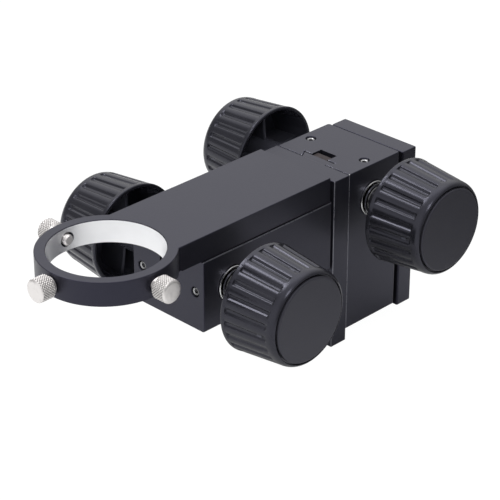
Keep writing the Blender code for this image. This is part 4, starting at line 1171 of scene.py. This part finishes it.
def knurled_head(radius, length):
    """A head along Z from its collar at Z = 0, cut with two crossing sets of slanting grooves."""
    steps = KNURL_STARTS * KNURL_STEPS
    start = COLLAR_LENGTH + HEAD_CHAMFER
    end = length - HEAD_CHAMFER
    work = bmesh.new()
    # Each point keeps how deep the knurl cuts there, and the metal paints that much shade on it.
    painted_shade = work.verts.layers.float.new("painted_shade")
    rings = []

    def ring(height, reach, cut):
        made = []
        for i in range(steps):
            turn = 2 * math.pi * i / steps
            slant = (height - start) / radius
            waves = [abs(math.sin(KNURL_STARTS / 2 * (turn + way * slant))) for way in (-1, 1)]
            share = cut * (1 - min(waves)) ** 2
            away = reach - KNURL_DEPTH * share
            corner = work.verts.new((away * math.cos(turn), away * math.sin(turn), height))
            corner[painted_shade] = share
            made.append(corner)
        rings.append(made)

    ring(0.0, THUMB_HOLE_RADIUS, 0.0)
    ring(0.0, COLLAR_RADIUS - COLLAR_EDGE, 0.0)
    ring(COLLAR_EDGE, COLLAR_RADIUS, 0.0)
    ring(COLLAR_LENGTH, COLLAR_RADIUS, 0.0)
    ring(COLLAR_LENGTH, radius - HEAD_CHAMFER, 0.0)
    along, inwards, cut = HEAD_END[0]
    ring(start - HEAD_CHAMFER * along, radius - HEAD_CHAMFER * inwards, cut)
    for row in range(KNURL_ROWS * 2 + 1):
        ring(start + (end - start) * row / (KNURL_ROWS * 2), radius, 1.0)
    for along, inwards, cut in HEAD_END:
        ring(end + HEAD_CHAMFER * along, radius - HEAD_CHAMFER * inwards, cut)
    ring(length, radius * HEAD_MIDDLE, 0.0)
    for first, second in zip(rings, rings[1:]):
        for i in range(steps):
            j = (i + 1) % steps
            work.faces.new((first[i], first[j], second[j], second[i]))
    work.faces.new(rings[-1])
    bmesh.ops.recalc_face_normals(work, faces=work.faces)
    return finished(work)


def threaded_stud(radius, length):
    """A stud along Z from its tip at Z = 0."""
    profile = [(0.0, 0.0), (radius - STUD_TIP, 0.0), (radius - STUD_THREAD, STUD_TIP_LENGTH)]
    turns = int(length / STUD_PITCH) - 1
    for turn in range(turns):
        foot = STUD_THREAD_START + turn * STUD_PITCH
        profile.append((radius - STUD_THREAD, foot))
        profile += [(radius, foot + STUD_PITCH * share) for share in STUD_CREST]
    profile += [(radius - STUD_THREAD, length), (0.0, length)]
    return finished(turned(profile, STUD_STEPS))


for name, matrix in thumb_frames.items():
    inverse = matrix.inverted()
    for part, piece, make, radius, sharp in (
        ("head", "knurled_head", knurled_head, HEAD_RADIUS, HEAD_SHARP),
        ("stud", "threaded_stud", threaded_stud, STUD_RADIUS, STUD_SHARP),
    ):
        node = f"{name}_thumb_screw_{part}"
        low, high = sorted((inverse @ corner).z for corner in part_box(node))
        mesh = make(radius, high - low)
        mesh.transform(matrix @ Matrix.Translation((0.0, 0.0, low)))
        show(f"{name}_{piece}", mesh, NICKEL, f"{name}_thumb_{part}", [node], sharp)

# The drives inside: cut brass racks on the tongues, coloured a dark brown, hobbed steel pinions on their
# shafts, and the small screws that hold racks and knobs. The racks are narrower copies of their solids, and
# the rest keep theirs.

RACK_NARROW = 0.70
RACK_END_BELOW = 0.0006
BRASS = turned_metal("dull_brass", (0.055, 0.045, 0.047), 0.42, lines=(700.0, 700.0, 700.0), marks=0.35)
for name, body in (("lift_rack", "lift"), ("arm_rack", "arm")):
    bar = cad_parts[name].data.copy()
    bar.materials.clear()
    bar.transform(Matrix.Diagonal((RACK_NARROW, 1.0, 1.0, 1.0)))
    rack_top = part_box(name)[1].z
    for corner in bar.vertices:
        if body == "lift" and corner.co.z > rack_top - SUNK / 2:
            corner.co.z = slab_top - RACK_END_BELOW
    show(f"{name}_bar", bar, BRASS, body, [name])
INSIDE = ("pinion_shaft", "knob_screw", "rack_screw")
for name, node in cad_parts.items():
    if any(part in name for part in INSIDE):
        node.data.materials.clear()
        node.data.materials.append(STEEL)
